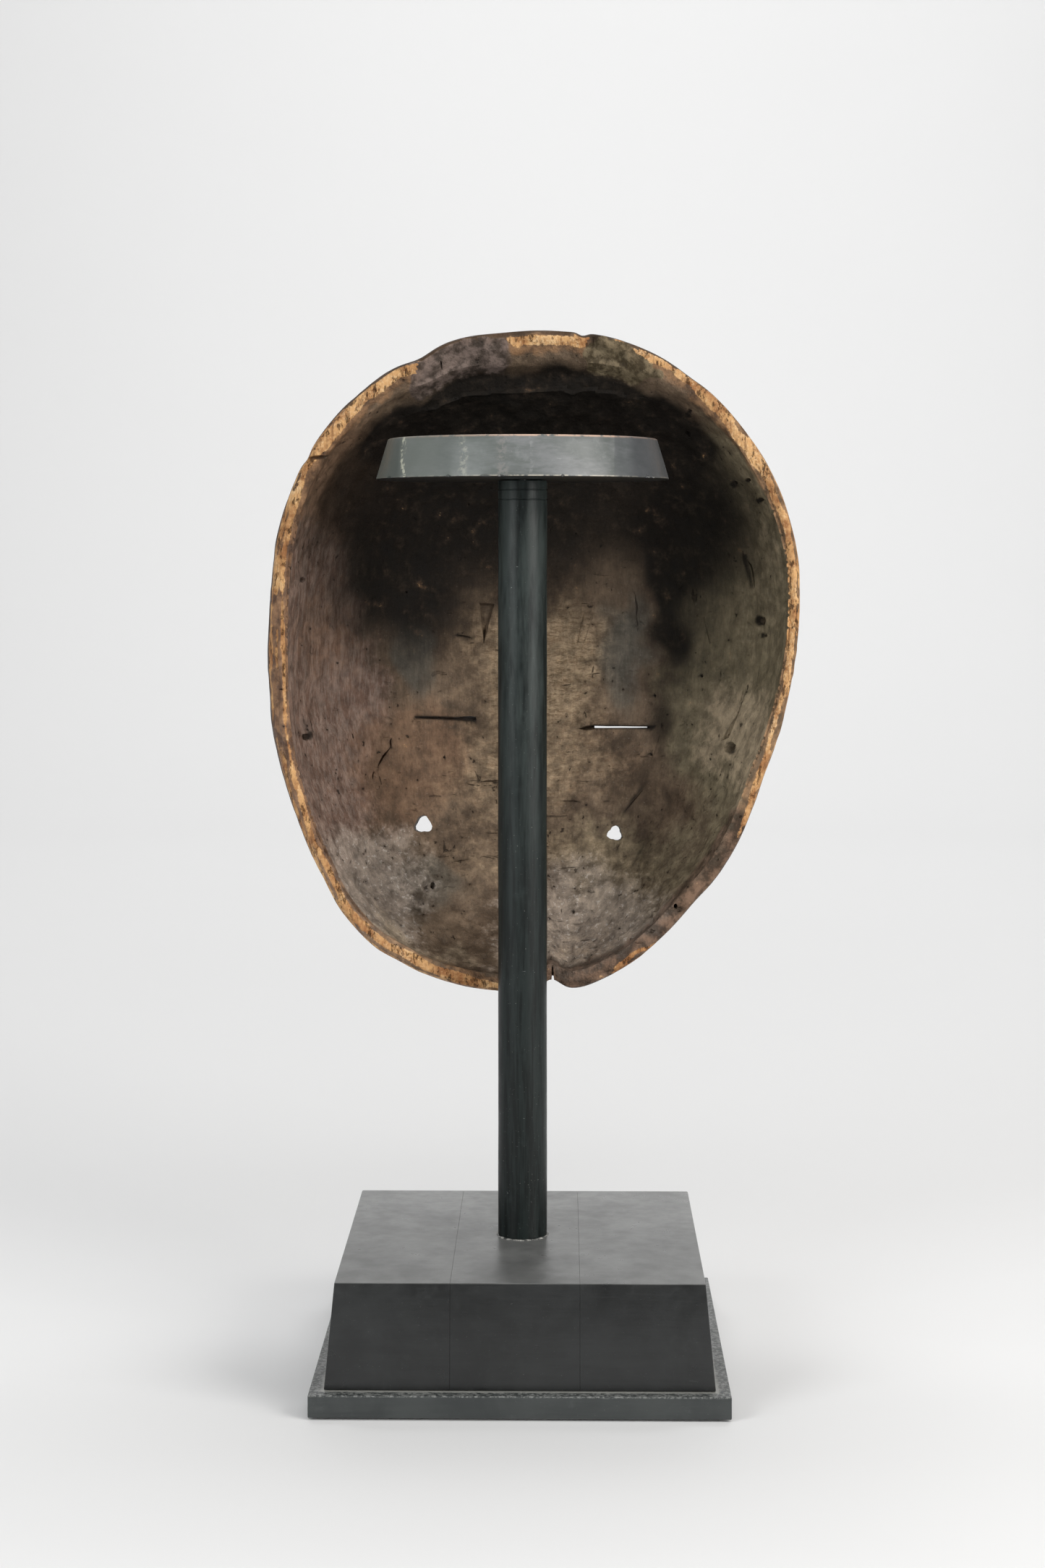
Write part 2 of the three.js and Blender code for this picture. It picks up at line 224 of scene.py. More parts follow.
def face_relief(x, z):
    """Height of the carved face above the plain shell, in mm, and where it is hair."""
    c, s = math.cos(FACE_ROLL), math.sin(FACE_ROLL)
    u, v = x * c - z * s, x * s + z * c
    side = np.abs(u)
    brow_line = -9 - 0.006 * (side - 36) ** 2
    brow = 6.5 * np.exp(-0.5 * ((v - brow_line) / np.where(v > brow_line, 8, 3.2)) ** 2)
    brow *= smooth(78, 60, side)
    socket = -7.0 * soft_hump(side, v, (40, -33), (19, 10))
    lids = 8.5 * hump(side, v, (40, -34), (23, 9.5))
    lid_rim = 1.1 * np.exp(-0.5 * ((np.hypot((side - 40) / 23, (v + 34) / 9.5) - 1) / 0.09) ** 2)
    along = np.clip((-12 - v) / 62, 0, 1)
    nose_width = 6.5 + 5 * along
    nose = (9 + 11 * along) * np.clip(1 - (u / nose_width) ** 2, 0, 1) ** 0.7
    nose *= smooth(2, -16, v) * smooth(-80, -73, v)
    wings = 9 * hump(side, v, (10, -71), (7.5, 7))
    nostrils = -4.5 * soft_hump(side, v, (6, -77.5), (2.4, 1.6))
    mouth_arch = v + 0.004 * side ** 2
    upper_lip = 7.5 * hump(side, mouth_arch, (0, -101), (25, 5.5))
    lower_lip = 8.0 * hump(side, v - 0.004 * side ** 2, (0, -112), (22, 5.5))
    parting = -2.5 * np.exp(-0.5 * ((v + 106.5) / 1.2) ** 2) * smooth(27, 22, side)
    mouth_base = 5 * soft_hump(u, v, (0, -106), (26, 12))
    chin = 6 * soft_hump(u, v, (0, -132), (20, 9))
    cheeks = 4 * soft_hump(side, v, (62, -66), (18, 22))
    hairline = 66 - 0.006 * u ** 2
    hair = smooth(0, 2.0, v - hairline)
    strands = np.abs(((u / (1 + 0.0035 * (v - 66)) + 200) % 7.0) / 3.5 - 1)
    coiffure = hair * (3.4 - 1.7 * smooth(0.72, 1.0, strands))
    band = 2.2 * np.exp(-((v - hairline - 4) / 3.0) ** 4)
    relief = (brow + socket + lids + lid_rim + nose + wings + nostrils + upper_lip + lower_lip
              + parting + mouth_base + chin + cheeks + coiffure + band)
    high = np.clip((brow / 7 + lids / 9 + nose / 18 + wings / 9 + upper_lip / 8 + lower_lip / 8
                    + chin / 8 + hair * 0.5), 0, 1)
    return relief, high


# ---------------------------------------------------------------- mesh helpers
def new_object(name, vertices_mm, faces):
    mesh = bpy.data.meshes.new(name)
    mesh.from_pydata((np.asarray(vertices_mm) * MM).tolist(), [], [list(map(int, f)) for f in faces])
    mesh.update()
    made = bpy.data.objects.new(name, mesh)
    bpy.context.scene.collection.objects.link(made)
    return made


def fix_normals(piece):
    shape = bmesh.new()
    shape.from_mesh(piece.data)
    bmesh.ops.recalc_face_normals(shape, faces=shape.faces)
    shape.to_mesh(piece.data)
    shape.free()


def cut(piece, cutters):
    """Takes each cutter's solid out of the piece."""
    for cutter in cutters:
        step = piece.modifiers.new("cut", "BOOLEAN")
        step.object = cutter
        step.operation = "DIFFERENCE"
        step.solver = "MANIFOLD"
    graph = bpy.context.evaluated_depsgraph_get()
    mesh = bpy.data.meshes.new_from_object(piece.evaluated_get(graph))
    piece.modifiers.clear()
    piece.data = mesh
    for cutter in cutters:
        bpy.data.objects.remove(cutter)


def shade(piece, angle=35):
    piece.data.shade_smooth()
    piece.data.set_sharp_from_angle(angle=math.radians(angle))


def coordinates(mesh):
    values = np.empty(len(mesh.vertices) * 3)
    mesh.vertices.foreach_get("co", values)
    return values.reshape(-1, 3) / MM


def set_coordinates(mesh, points_mm):
    mesh.vertices.foreach_set("co", (points_mm * MM).ravel())
    mesh.update()


def paint(mesh, name, red, green, blue):
    """Stores three masks as the red, green and blue of one colour attribute."""
    layer = mesh.color_attributes.new(name, "FLOAT_COLOR", "POINT")
    values = np.column_stack([red, green, blue, np.ones(len(red))])
    layer.data.foreach_set("color", np.clip(values, 0, 1).ravel())


def finish_piece(piece, body, slot, material, *nodes):
    piece.data.materials.clear()
    piece.data.materials.append(material)
    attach(piece, body)
    if nodes:
        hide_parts(*nodes)


# ---------------------------------------------------------------- building the mask
def disc_grid(steps):
    """A square grid laid out as a disc: each point's share of the radius, and its angle."""
    line = np.linspace(-1, 1, steps + 1)
    a, b = np.meshgrid(line, line, indexing="ij")
    wide = np.abs(a) > np.abs(b)
    big = np.where(wide, a, b)
    small = np.where(wide, b, a)
    turn = np.divide(small, big, out=np.zeros_like(big), where=big != 0) * math.pi / 4
    turn = np.where(wide, turn, math.pi / 2 - turn)
    x, y = big * np.cos(turn), big * np.sin(turn)
    return np.hypot(x, y).ravel(), np.arctan2(y, x).ravel()


def grid_border(steps):
    side = steps + 1
    run = np.arange(steps)
    return np.concatenate([run * side, steps * side + run, (steps - run) * side + steps, steps - run])


def hollow_points(share_of_radius, angle):
    share = np.cos(share_of_radius * math.pi / 2)
    inner, _ = rim_edges(angle)
    radius = inner * np.sqrt(np.clip(1 - share ** around(HOLLOW_WALL, angle), 0, 1))
    depth = RIM_ROUND + (HOLLOW_DEPTH - RIM_ROUND) * share
    return np.column_stack([radius * np.cos(angle), depth, radius * np.sin(angle)])


def face_points(share_of_radius, angle):
    t = share_of_radius * math.pi / 2
    share = np.cos(t)
    _, outer = rim_edges(angle)
    bulge = (share / SWELL_AT) * np.exp(1 - share / SWELL_AT) * np.sin(t) ** 2
    radius = outer * np.sqrt(np.clip(1 - share ** around(FACE_WALL, angle), 0, 1))
    radius += around(SWELL, angle) * bulge
    x, z = radius * np.cos(angle), radius * np.sin(angle)
    relief, _ = face_relief(x, z)
    depth = RIM_ROUND + (FACE_DEPTH - RIM_ROUND) * share + relief * smooth(0.08, 0.5, share)
    return np.column_stack([x, depth, z])


def mask_blank():
    """The closed mask: the hollow's grid, the rounded rim and the face's grid."""
    share, angle = disc_grid(GRID_STEPS)
    hollow = hollow_points(share, angle)
    face = face_points(share, angle)
    side = GRID_STEPS + 1
    cell = (np.arange(GRID_STEPS)[:, None] * side + np.arange(GRID_STEPS)[None, :]).ravel()
    quads = np.column_stack([cell, cell + 1, cell + side + 1, cell + side])
    border = grid_border(GRID_STEPS)
    inner, outer = rim_edges(angle[border])
    rings = []
    for step in range(1, RIM_STEPS):
        s = step / RIM_STEPS
        radius = inner + (outer - inner) * (1 - math.cos(s * math.pi)) / 2
        lift = RIM_ROUND * (1 - math.sin(s * math.pi) ** 0.8)
        rim_angle = angle[border]
        rings.append(np.column_stack([radius * np.cos(rim_angle), np.full(len(border), lift),
                                      radius * np.sin(rim_angle)]))
    points = np.vstack([hollow, face, *rings])
    count = len(hollow)
    loops = [border] + [2 * count + k * len(border) + np.arange(len(border))
                        for k in range(RIM_STEPS - 1)] + [border + count]
    faces = [quads, quads[:, ::-1] + count]
    for near, far in zip(loops, loops[1:]):
        faces.append(np.column_stack([near, np.roll(near, -1), np.roll(far, -1), far]))
    return points, np.vstack(faces), count


# torn bare wood in the hollow, seen along the mask's depth: centre, spread in mm, strength
TORN_WOOD = [((2, -12), (21, 23), 1.0), ((-28, 6), (15, 12), 0.2), ((20, 2), (13, 18), 0.4),
             ((2, -60), (34, 14), 0.6), ((8, -98), (44, 10), 0.42), ((24, -132), (26, 12), 0.35)]
VERTICAL_SHADE = [((69, 80), (68, 8)), ((68, 8), (66, -34)), ((66, -34), (50, -84))]


def ease_rim(points):
    """Wears the rim's inner edge to a broad round, widest over the crown, and softens its outer edge."""
    radius = np.hypot(points[:, 0], points[:, 2])
    angle = np.arctan2(points[:, 2], points[:, 0])
    inner, outer = rim_edges(angle)
    width = outer - inner
    below = np.maximum(points[:, 1] - RIM_ROUND, 0)
    hollow_side = points[:, 1] < (radius - inner) * 3 + RIM_ROUND + 40 * (radius < inner)
    inner_reach = np.hypot(radius - inner, below) / (2 + 0.6 * width + 0.012 * width ** 2)
    inner_ease = (0.24 * width + 0.013 * width ** 2) * np.exp(-inner_reach ** 2) * hollow_side
    outer_reach = np.hypot(radius - outer, below) / 2.6
    outer_ease = 0.9 * np.exp(-outer_reach ** 2) * (1 - np.exp(-((radius - inner) / 3) ** 2))
    moved = points.copy()
    moved[:, 1] += inner_ease + outer_ease
    shift = 1 + (0.5 * inner_ease - 0.6 * outer_ease) / np.maximum(radius, 1)
    moved[:, [0, 2]] *= shift[:, None]
    return moved


def round_over(points, faces, passes=40):
    """Evens the crown's inner edge out towards its neighbours until it turns over in one broad round."""
    inner, outer = rim_edges(np.arctan2(points[:, 2], points[:, 0]))
    reach = np.hypot(np.hypot(points[:, 0], points[:, 2]) - inner, np.maximum(points[:, 1] - RIM_ROUND, 0))
    weight = 0.6 * smooth(17, 5, reach) * smooth(6.5, 13, outer - inner)
    ends = np.vstack([faces[:, [k, (k + 1) % 4]] for k in range(4)])
    ends = np.vstack([ends, ends[:, ::-1]])
    neighbours = np.bincount(ends[:, 0], minlength=len(points))
    moved = points.copy()
    for _ in range(passes):
        for axis in range(3):
            middle = np.bincount(ends[:, 0], moved[ends[:, 1], axis], len(points)) / neighbours
            moved[:, axis] += weight * (middle - moved[:, axis])
    return moved


def carve(points, count):
    """Tool marks, waves and wear: how far each point of the blank moves along its normal."""
    hollow = np.zeros(len(points), bool)
    hollow[:count] = True
    rim = np.zeros(len(points), bool)
    rim[2 * count:] = True
    inward = smooth(2, 10, points[:, 1])
    waves = 1.3 * rough_noise(points, 46, 3, 2)
    scoops = -1.3 * np.abs(noise(points, (15, 14, 24), 11)) - 0.7 * np.abs(noise(points, (8, 8, 12), 17))
    torn = torn_wood(points)
    fibre = 0.6 * torn * noise(points, (5.5, 4, 2.3), 23) + 0.35 * torn * noise(points, (9, 6, 1.6), 24)
    low = smooth(-70, -100, points[:, 2])
    pecked = -1.1 * (0.35 + low) * smooth(0.35, 0.7, noise(points, (3.6, 3.6, 2.6), 31))
    fine = 0.2 * noise(points, 3.2, 29)
    move = (waves + scoops + fibre + pecked + fine) * inward
    ridge = 0.9 * (stroke(points, (66, 46), (64, -34), 8) + stroke(points, (64, -34), (46, -84), 8))
    move -= ridge * noise(points, (30, 30, 12), 37)
    face_move = 0.5 * rough_noise(points, 30, 41, 2) + 0.10 * noise(points, 4, 43)
    face_move += -0.35 * np.abs(noise(points, (11, 11, 16), 47)) * smooth(0, 1, noise(points, 40, 5) + 0.6)
    rim_move = 0.8 * rough_noise(points, 14, 53, 3)
    angle = np.arctan2(points[:, 2], points[:, 0])
    weak = 1 - smooth(1, 4, bare_band(angle))
    rim_move -= weak * (0.8 + 1.5 * rough_noise(points, 9, 59, 3))
    return np.where(hollow, move, np.where(rim, rim_move, face_move * inward))


def glow(points, centre, spread):
    """1 at a centre seen along the mask's depth, falling off like a bell."""
    return np.exp(-0.5 * (((points[:, 0] - centre[0]) / spread[0]) ** 2
                          + ((points[:, 2] - centre[1]) / spread[1]) ** 2))


def torn_wood(points):
    return np.clip(sum(amount * glow(points, c, r) for c, r, amount in TORN_WOOD), 0, 1)


def place_on_hollow(x, z):
    """The hollow's surface at (x, z) from the middle of the mask: point and inward normal, frame mm."""
    def surface(px, pz):
        a = np.array([math.atan2(pz, px)])
        inner, _ = rim_edges(a)
        q = min(math.hypot(px, pz) / inner[0], 0.999)
        share = (1 - q * q) ** (1 / around(HOLLOW_WALL, a)[0])
        return np.array([px, RIM_ROUND + (HOLLOW_DEPTH - RIM_ROUND) * share, pz])

    here = surface(x, z)
    across = surface(x + 0.5, z) - here
    up = surface(x, z + 0.5) - here
    normal = np.cross(across, up)
    normal /= np.linalg.norm(normal)
    if normal[1] > 0:
        normal = -normal
    ends = to_frame(np.array([here, here + normal]))
    return Vector(ends[0]), Vector(ends[1] - ends[0]).normalized()


def prism(name, outline, origin, out, depth, proud=4.0, shrink=0.6, lean=(0.0, 0.0)):
    """A closed cutter, sunk by depth against out; its outline is as seen from behind the mask."""
    out = Vector(out).normalized()
    up = (Vector((0, 0, 1)) - out * out.z).normalized()
    across = up.cross(out).normalized()
    if across.x < 0:
        across = -across
    wide, tall = 1 / max(across.x, 0.3), 1 / max(up.z, 0.6)
    rings = []
    for level, scale in ((proud, 1 + (1 - shrink) * proud / depth), (-depth, shrink)):
        drift = across * lean[0] * -level + up * lean[1] * -level
        middle = origin + out * level + drift
        rings.append([middle + across * a * scale * wide + up * b * scale * tall for a, b in outline])
    count = len(outline)
    faces = [tuple(range(count)), tuple(reversed(range(count, 2 * count)))]
    faces += [(i, (i + 1) % count, count + (i + 1) % count, count + i) for i in range(count)]
    cutter = new_object(name, [tuple(p) for ring in rings for p in ring], faces)
    fix_normals(cutter)
    return cutter


def ragged_line(length, width, bend=0.0, seed=1, points=9):
    """The outline of a crack or slit along the across axis, pointed at its ends."""
    rng = np.random.default_rng(seed)
    t = np.linspace(-1, 1, points)
    half = 0.5 * width * (1 - np.abs(t) ** 3) + 0.02
    middle = bend * (1 - t * t) + rng.uniform(-0.12, 0.12, points) * width
    top = [(length / 2 * s, m + h * rng.uniform(0.7, 1.1)) for s, m, h in zip(t, middle, half)]
    foot = [(length / 2 * s, m - h * rng.uniform(0.7, 1.1)) for s, m, h in zip(t, middle, half)]
    return top + foot[::-1]


def turned_outline(outline, degrees):
    c, s = math.cos(math.radians(degrees)), math.sin(math.radians(degrees))
    return [(a * c - b * s, a * s + b * c) for a, b in outline]


def round_outline(radius, seed, points=12, squash=1.0):
    rng = np.random.default_rng(seed)
    made = []
    for k in range(points):
        r = radius * rng.uniform(0.86, 1.1)
        made.append((r * math.cos(TURN * k / points) * squash, r * math.sin(TURN * k / points)))
    return made


# pits and worm holes in the hollow: across, up from the middle, radius, depth
PITS = [(-104.1, -36.5, 2.0, 8), (94.0, -42.5, 2.7, 8), (108.3, 17.2, 2.5, 5.5), (109.6, 10.5, 1.2, 4),
        (-107.1, 36.9, 1.1, 5), (95.8, 81.8, 1.2, 5), (101.0, 83.2, 1.0, 5), (106.5, 73.9, 1.2, 5),
        (73.5, 104.9, 1.5, 5), (73.3, 114.0, 1.2, 5), (-46.5, -108.2, 1.5, 4), (-30, 72, 0.8, 2.5),
        (22, 58, 0.7, 2.5), (-78, -92, 0.9, 3), (66, -112, 0.8, 3), (58, -48, 0.7, 2.5),
        (20, -120, 0.9, 2.5), (-42, -50, 0.7, 2),
        (60, -20, 0.8, 2), (-60, 30, 0.8, 2), (34, 52, 0.7, 2), (82, -10, 0.9, 2)]
# cracks in the hollow: across, up, length, width, turn in degrees, depth
CRACKS = [(103.3, 40.5, 17, 1.3, -77, 4), (-70.5, -49.5, 12, 1.2, 55, 4), (-74.5, -57, 6, 0.9, 75, 3),
          (-67.2, -42.5, 5, 0.8, 85, 3), (49.5, -69, 20, 0.7, 55, 2.5), (-8, -12, 9, 0.8, 6, 2),
          (-32, 8, 10, 0.9, -12, 2), (28, -4, 8, 0.8, 8, 2), (50, -96, 12, 2.2, 60, 1.6),
          (-20, -62, 11, 0.8, 3, 1.8), (18, -71, 13, 0.9, -3, 1.8), (-34, -98, 9, 0.9, 6, 2),
          (42, -90, 8, 1.0, 70, 1.8), (86, -66, 9, 0.6, 70, 2), (-10, 22, 7, 0.7, -10, 1.5)]
# long V-shaped gouge cuts: outline corners from the middle of the mask, and depth
GOUGES = [([(-25.3, 25.0), (-17.4, 24.4), (-22.9, 5.0)], 2.6),
          ([(26.0, 22.5), (31.8, 21.0), (25.6, 2.5), (21.6, 3.0)], 2.0),
          ([(-105.2, -34), (-103.2, -34), (-105.4, -25)], 2.6), ([(-88, -60), (-87, -60), (-92, -36)], 1.2),
          ([(93.6, -39), (95.8, -38), (97.9, -15)], 2.6), ([(99.6, -22), (101.4, -21), (99.9, -2)], 1.4),
          ([(86.0, 4), (87.0, 5), (82.9, 20), (82.2, 19)], 1.4), ([(58, -52), (59.4, -51.5), (63, -30)], 1.2),
          ([(-27.5, -31.5), (-24.5, -31.5), (-24.0, -20)], 1.0),
          ([(22.8, -36.6), (27, -37.3), (31.5, -36.6), (31.5, -34.7), (27, -34.9)], 5.0)]
LEFT_SLIT = [(-15, 0.1), (-11, 0.3), (-6, 0.4), (0, 0.6), (5, 0.65), (9, 1.1), (13, 1.45), (15.2, 1.0),
             (15.4, -0.5), (12, -0.8), (7, -0.6), (1, -0.6), (-5, -0.4), (-10, -0.3)]
RIGHT_SLIT = [(-13, 0.6), (-6, 0.42), (0, 0.45), (6, 0.36), (13.4, 0.3), (13.6, -0.2), (6, -0.36), (0, -0.38),
              (-6, -0.45), (-13, -0.5)]
EYE_SLITS = [{"at": (-41.8, -31.4), "outline": LEFT_SLIT, "drop": 0.13, "turn": -4.5},
             {"at": (43.6, -35.5), "outline": RIGHT_SLIT, "drop": -0.064, "turn": 0}]
TIE_HOLES = [{"at": (-51.9, -81.2), "size": 4.15, "turn": 0, "seed": 3},
             {"at": (40.3, -85.2), "size": 3.5, "turn": -12, "seed": 4}]


def mask_cutters():
    made = []
    sight = Vector((0, -1, 0))
    for k, (x, z, radius, depth) in enumerate(PITS):
        origin, out = place_on_hollow(x, z)
        made.append(prism(f"pit_{k}", round_outline(radius, k, squash=0.8), origin, out, depth, 3, 0.35))
    for k, (x, z, length, width, turn, depth) in enumerate(CRACKS):
        origin, out = place_on_hollow(x, z)
        outline = turned_outline(ragged_line(length, width, 0.5, 60 + k, 13), turn)
        made.append(prism(f"crack_{k}", outline, origin, out, depth, 3, 0.4))
    for k, (corners, depth) in enumerate(GOUGES):
        middle = np.mean(corners, axis=0)
        origin, out = place_on_hollow(*middle)
        outline = [(a - middle[0], b - middle[1]) for a, b in corners]
        made.append(prism(f"gouge_{k}", outline, origin, out, depth, 5, 0.75))
    for k, slit in enumerate(EYE_SLITS):
        origin, _ = place_on_hollow(*slit["at"])
        outline = turned_outline(slit["outline"], slit["turn"])
        made.append(prism(f"slit_{k}", outline, origin, sight, 40, 25, 0.9, (0, slit["drop"])))
    for k, hole in enumerate(TIE_HOLES):
        origin, _ = place_on_hollow(*hole["at"])
        corners = []
        rng = np.random.default_rng(hole["seed"])
        for i in range(18):
            a = TURN * i / 18 + math.pi / 2
            three = 1 + 0.16 * math.cos(3 * (a - math.pi / 2))
            r = hole["size"] * three * rng.uniform(0.95, 1.05)
            corners.append((r * math.cos(a), r * math.sin(a)))
        outline = turned_outline(corners, hole["turn"])
        made.append(prism(f"hole_{k}", outline, origin, sight, 45, 12, 0.82, (0, -0.11)))
    made += rim_cutters(sight)
    return made


def rim_cutters(sight):
    """Splits and notches that run in from the rim; each is cut along the mask's depth."""
    splits = [((25.6, 142.0), [(-0.12, -16), (0.05, -15), (0.2, 0), (0.35, 7.5), (-0.4, 7.5), (-0.15, 0)], 6),
              ((9.6, -145.5), [(-1.9, -9), (2.2, -9), (0.9, 0), (0.3, 8.5), (-0.4, 6.5), (-0.5, 0)], 14),
              ((-41.6, 134.0), [(-0.9, 6.5), (0.3, 6.0), (0.8, 1.5), (1.9, -6.5), (0.6, -5.5), (-0.3, 0)], 9),
              ((-40.0, 131.0), [(-4.2, 1.6), (-0.5, 1.0), (2.6, 3.6), (0.2, -0.3), (-3.9, 0.6)], 5),
              ((-94.5, 92.6), [(-13, -2.4), (-6, -0.2), (7, 1.4), (9, 2.6), (-4, 2.4), (-12, 1.6)], 6),
              ((-89.0, 113.6), [(-5, -3.0), (4, 2.0), (5.5, 5.4), (0, 3.6), (-4, -0.5)], 3.2),
              ((-116.0, -13.0), [(-3, -0.6), (3, -0.3), (3, 0.5), (-3, 0.7)], 4)]
    made = []
    for k, (at, outline, depth) in enumerate(splits):
        place = to_frame(np.array([[at[0], 0.0, at[1]]]))[0]
        made.append(prism(f"split_{k}", outline, Vector(place), sight, depth, 6, 0.55))
    return made


def holes_painted_shade(points):
    """Painted shade for the recesses: 1 in and close round every slit, hole, pit and crack of the hollow."""
    dark = np.zeros(len(points))
    for slit in EYE_SLITS:
        x, z = slit["at"]
        ends = turned_outline([(-14, 0), (14.5, 0.2)], slit["turn"])
        dark += stroke(points, (x + ends[0][0], z + ends[0][1]), (x + ends[1][0], z + ends[1][1]), 1.7)
    for x, z, radius, _ in PITS:
        dark += 0.8 * blob(points, (x, z), (0.8 * radius, radius), 0.35)
    for x, z, length, width, turn, _ in CRACKS:
        ends = turned_outline([(-0.45 * length, 0), (0.45 * length, 0)], turn)
        dark += 0.4 * stroke(points, (x + ends[0][0], z + ends[0][1]), (x + ends[1][0], z + ends[1][1]), 1.3)
    return np.clip(dark, 0, 1)


def paint_mask(piece):
    """Masks for the shader, worked out from where each point lies on the mask."""
    mesh = piece.data
    p = from_frame(coordinates(mesh))
    radius = np.hypot(p[:, 0], p[:, 2])
    angle = np.arctan2(p[:, 2], p[:, 0])
    inner, outer = rim_edges(angle)
    q = np.clip(radius / inner, 0, 0.999)
    hollow_depth = RIM_ROUND + (HOLLOW_DEPTH - RIM_ROUND) * (1 - q * q) ** (1 / around(HOLLOW_WALL, angle))
    q_face = np.clip(radius / outer, 0, 0.999)
    face_depth = RIM_ROUND + (FACE_DEPTH - RIM_ROUND) * (1 - q_face ** 2) ** (1 / around(FACE_WALL, angle))
    inside = 1 - smooth(0.35, 0.65, (p[:, 1] - hollow_depth) / np.maximum(face_depth - hollow_depth, 3))
    below = np.maximum(p[:, 1] - RIM_ROUND, 0)
    from_edge = outer - radius + np.where(inside > 0.5, below, -below)
    wide = bare_band(angle)
    wobble = rough_noise(p, 13, 71, 3) * np.clip(wide / 4, 0.2, 1.6)
    start = 1.5 + 0.8 * rough_noise(p, 9, 73, 2)
    shallow = 1 - smooth(17, 26, p[:, 1])
    bare = smooth(start - 0.5, start + 0.5, from_edge) * smooth(0, 2, wide) * shallow
    bare *= 1 - smooth(wide - 1.5, wide + 0.8, from_edge + wobble)
    fade = (1 - smooth(wide, wide + 11, from_edge + 2 * wobble)) * smooth(-3, 1, from_edge) * shallow
    degrees = np.degrees(angle) % 360
    turned_in = outer - inner + 5
    near_rim = smooth(-3, 1, from_edge) * shallow
    near_rim *= 1 - smooth(turned_in, turned_in + 16, from_edge + 3 * wobble)

    def stretch(low, high, soft=2.5):
        at = degrees + 1.5 * wobble
        return smooth(low - soft, low, at) * (1 - smooth(high, high + soft, at))

    eroded = near_rim * stretch(95, 111)
    olive_chip = near_rim * stretch(68, 79, 1)
    weathered = near_rim * stretch(274, 322, 5)
    jitter = p + 7 * np.column_stack([rough_noise(p, 24, 81), 0 * radius, rough_noise(p, 24, 83)])
    torn = torn_wood(jitter)
    # soot over the hollow's ceiling, plus painted shade: the disc's shadow over the upper hollow, the dark
    # upper right wall, a shaded band left of the torn wood, the shaded right corner, and the slits, pits and
    # cracks
    soot_and_shade = patches(jitter, (1, (-22, 75), (96, 52), 0.85), (0.6, (80, 56), (23, 60), 1.0),
                   (1, (0, 118), (96, 24), 0.5), (0.45, (-64, 20), (24, 36), 0.8))
    soot_and_shade += 0.33 * sum(stroke(jitter, a, b, 15) for a, b in VERTICAL_SHADE)
    soot_and_shade = soot_and_shade * smooth(13, 44, from_edge + 4 * wobble) + holes_painted_shade(p)
    grey = patches(jitter, (1, (-82, -112), (34, 34)), (1, (32, -126), (48, 24)))
    cold = patches(jitter, (1, (46, 0), (15, 28)), (1, (-57, 0), (11, 24)), (0.8, (-46, -108), (20, 12)),
                   (0.2, (70, -70), (22, 40)))
    # mauve on the left wall and olive on the right wall: wood tints that are also painted light, the tinted
    # light falling on each wall
    mauve = patches(jitter, (1, (-104, -25), (30, 96), 0.5))
    olive = patches(jitter, (1, (98, 5), (34, 110), 0.5), (0.6, (44, -102), (36, 24)))
    ruddy = patches(jitter, (1, (-84, 84), (30, 34)), (0.7, (-96, 10), (20, 26)), (1, (-64, -54), (28, 34)),
                    (0.5, (10, -50), (56, 30)))
    # pale patches; the band along the lower-left inner rim is a painted sheen
    pale = patches(jitter, (1, (99, -42), (15, 32), 0.7), (1, (-46, -139), (38, 9), 0.6, -22),
                   (0.4, (112, 60), (12, 60)))
    _, high = face_relief(p[:, 0], p[:, 2])
    paint(mesh, "rim_wear", bare, fade, inside)
    paint(mesh, "rim_tone", eroded, olive_chip, weathered)
    paint(mesh, "hollow_tone", torn, soot_and_shade, grey)
    paint(mesh, "hollow_tint", mauve, olive, ruddy)
    paint(mesh, "face_tone", high, pale, cold)


def build_mask(material):
    points, faces, count = mask_blank()
    piece = new_object("carved_mask", to_frame(round_over(ease_rim(points), faces)), faces)
    fix_normals(piece)
    normals = np.empty(len(points) * 3)
    piece.data.vertex_normals.foreach_get("vector", normals)
    normals = normals.reshape(-1, 3)
    move = carve(points, count)
    set_coordinates(piece.data, coordinates(piece.data) + normals * move[:, None])
    cut(piece, mask_cutters())
    paint_mask(piece)
    shade(piece, 42)
    finish_piece(piece, "mask", "carved_wood", material, "mask_shell")


# ---------------------------------------------------------------- building the stand
def turned_piece(name, profile, segments=192, wear=0.0, seed=0):
    """A turned solid from [radius, z] points that start and end on the axis."""
    points, rings = [], []
    for r, z in profile:
        if r < 1e-6:
            rings.append([len(points)])
            points.append((0, 0, z))
            continue
        rings.append(list(range(len(points), len(points) + segments)))
        points += [(r * math.cos(TURN * k / segments), r * math.sin(TURN * k / segments), z)
                   for k in range(segments)]
    faces = []
    for low, high in zip(rings, rings[1:]):
        for k in range(segments):
            n = (k + 1) % segments
            if len(low) == 1:
                faces.append((low[0], high[n], high[k]))
            elif len(high) == 1:
                faces.append((low[k], low[n], high[0]))
            else:
                faces.append((low[k], low[n], high[n], high[k]))
    points = np.array(points, float)
    if wear:
        away = points.copy()
        away[:, 2] = 0
        length = np.linalg.norm(away, axis=1)
        away /= np.maximum(length, 1e-6)[:, None]
        points += away * (wear * rough_noise(points, (9, 9, 40), seed, 3))[:, None] * (length > 1)[:, None]
    piece = new_object(name, points, faces)
    fix_normals(piece)
    return piece


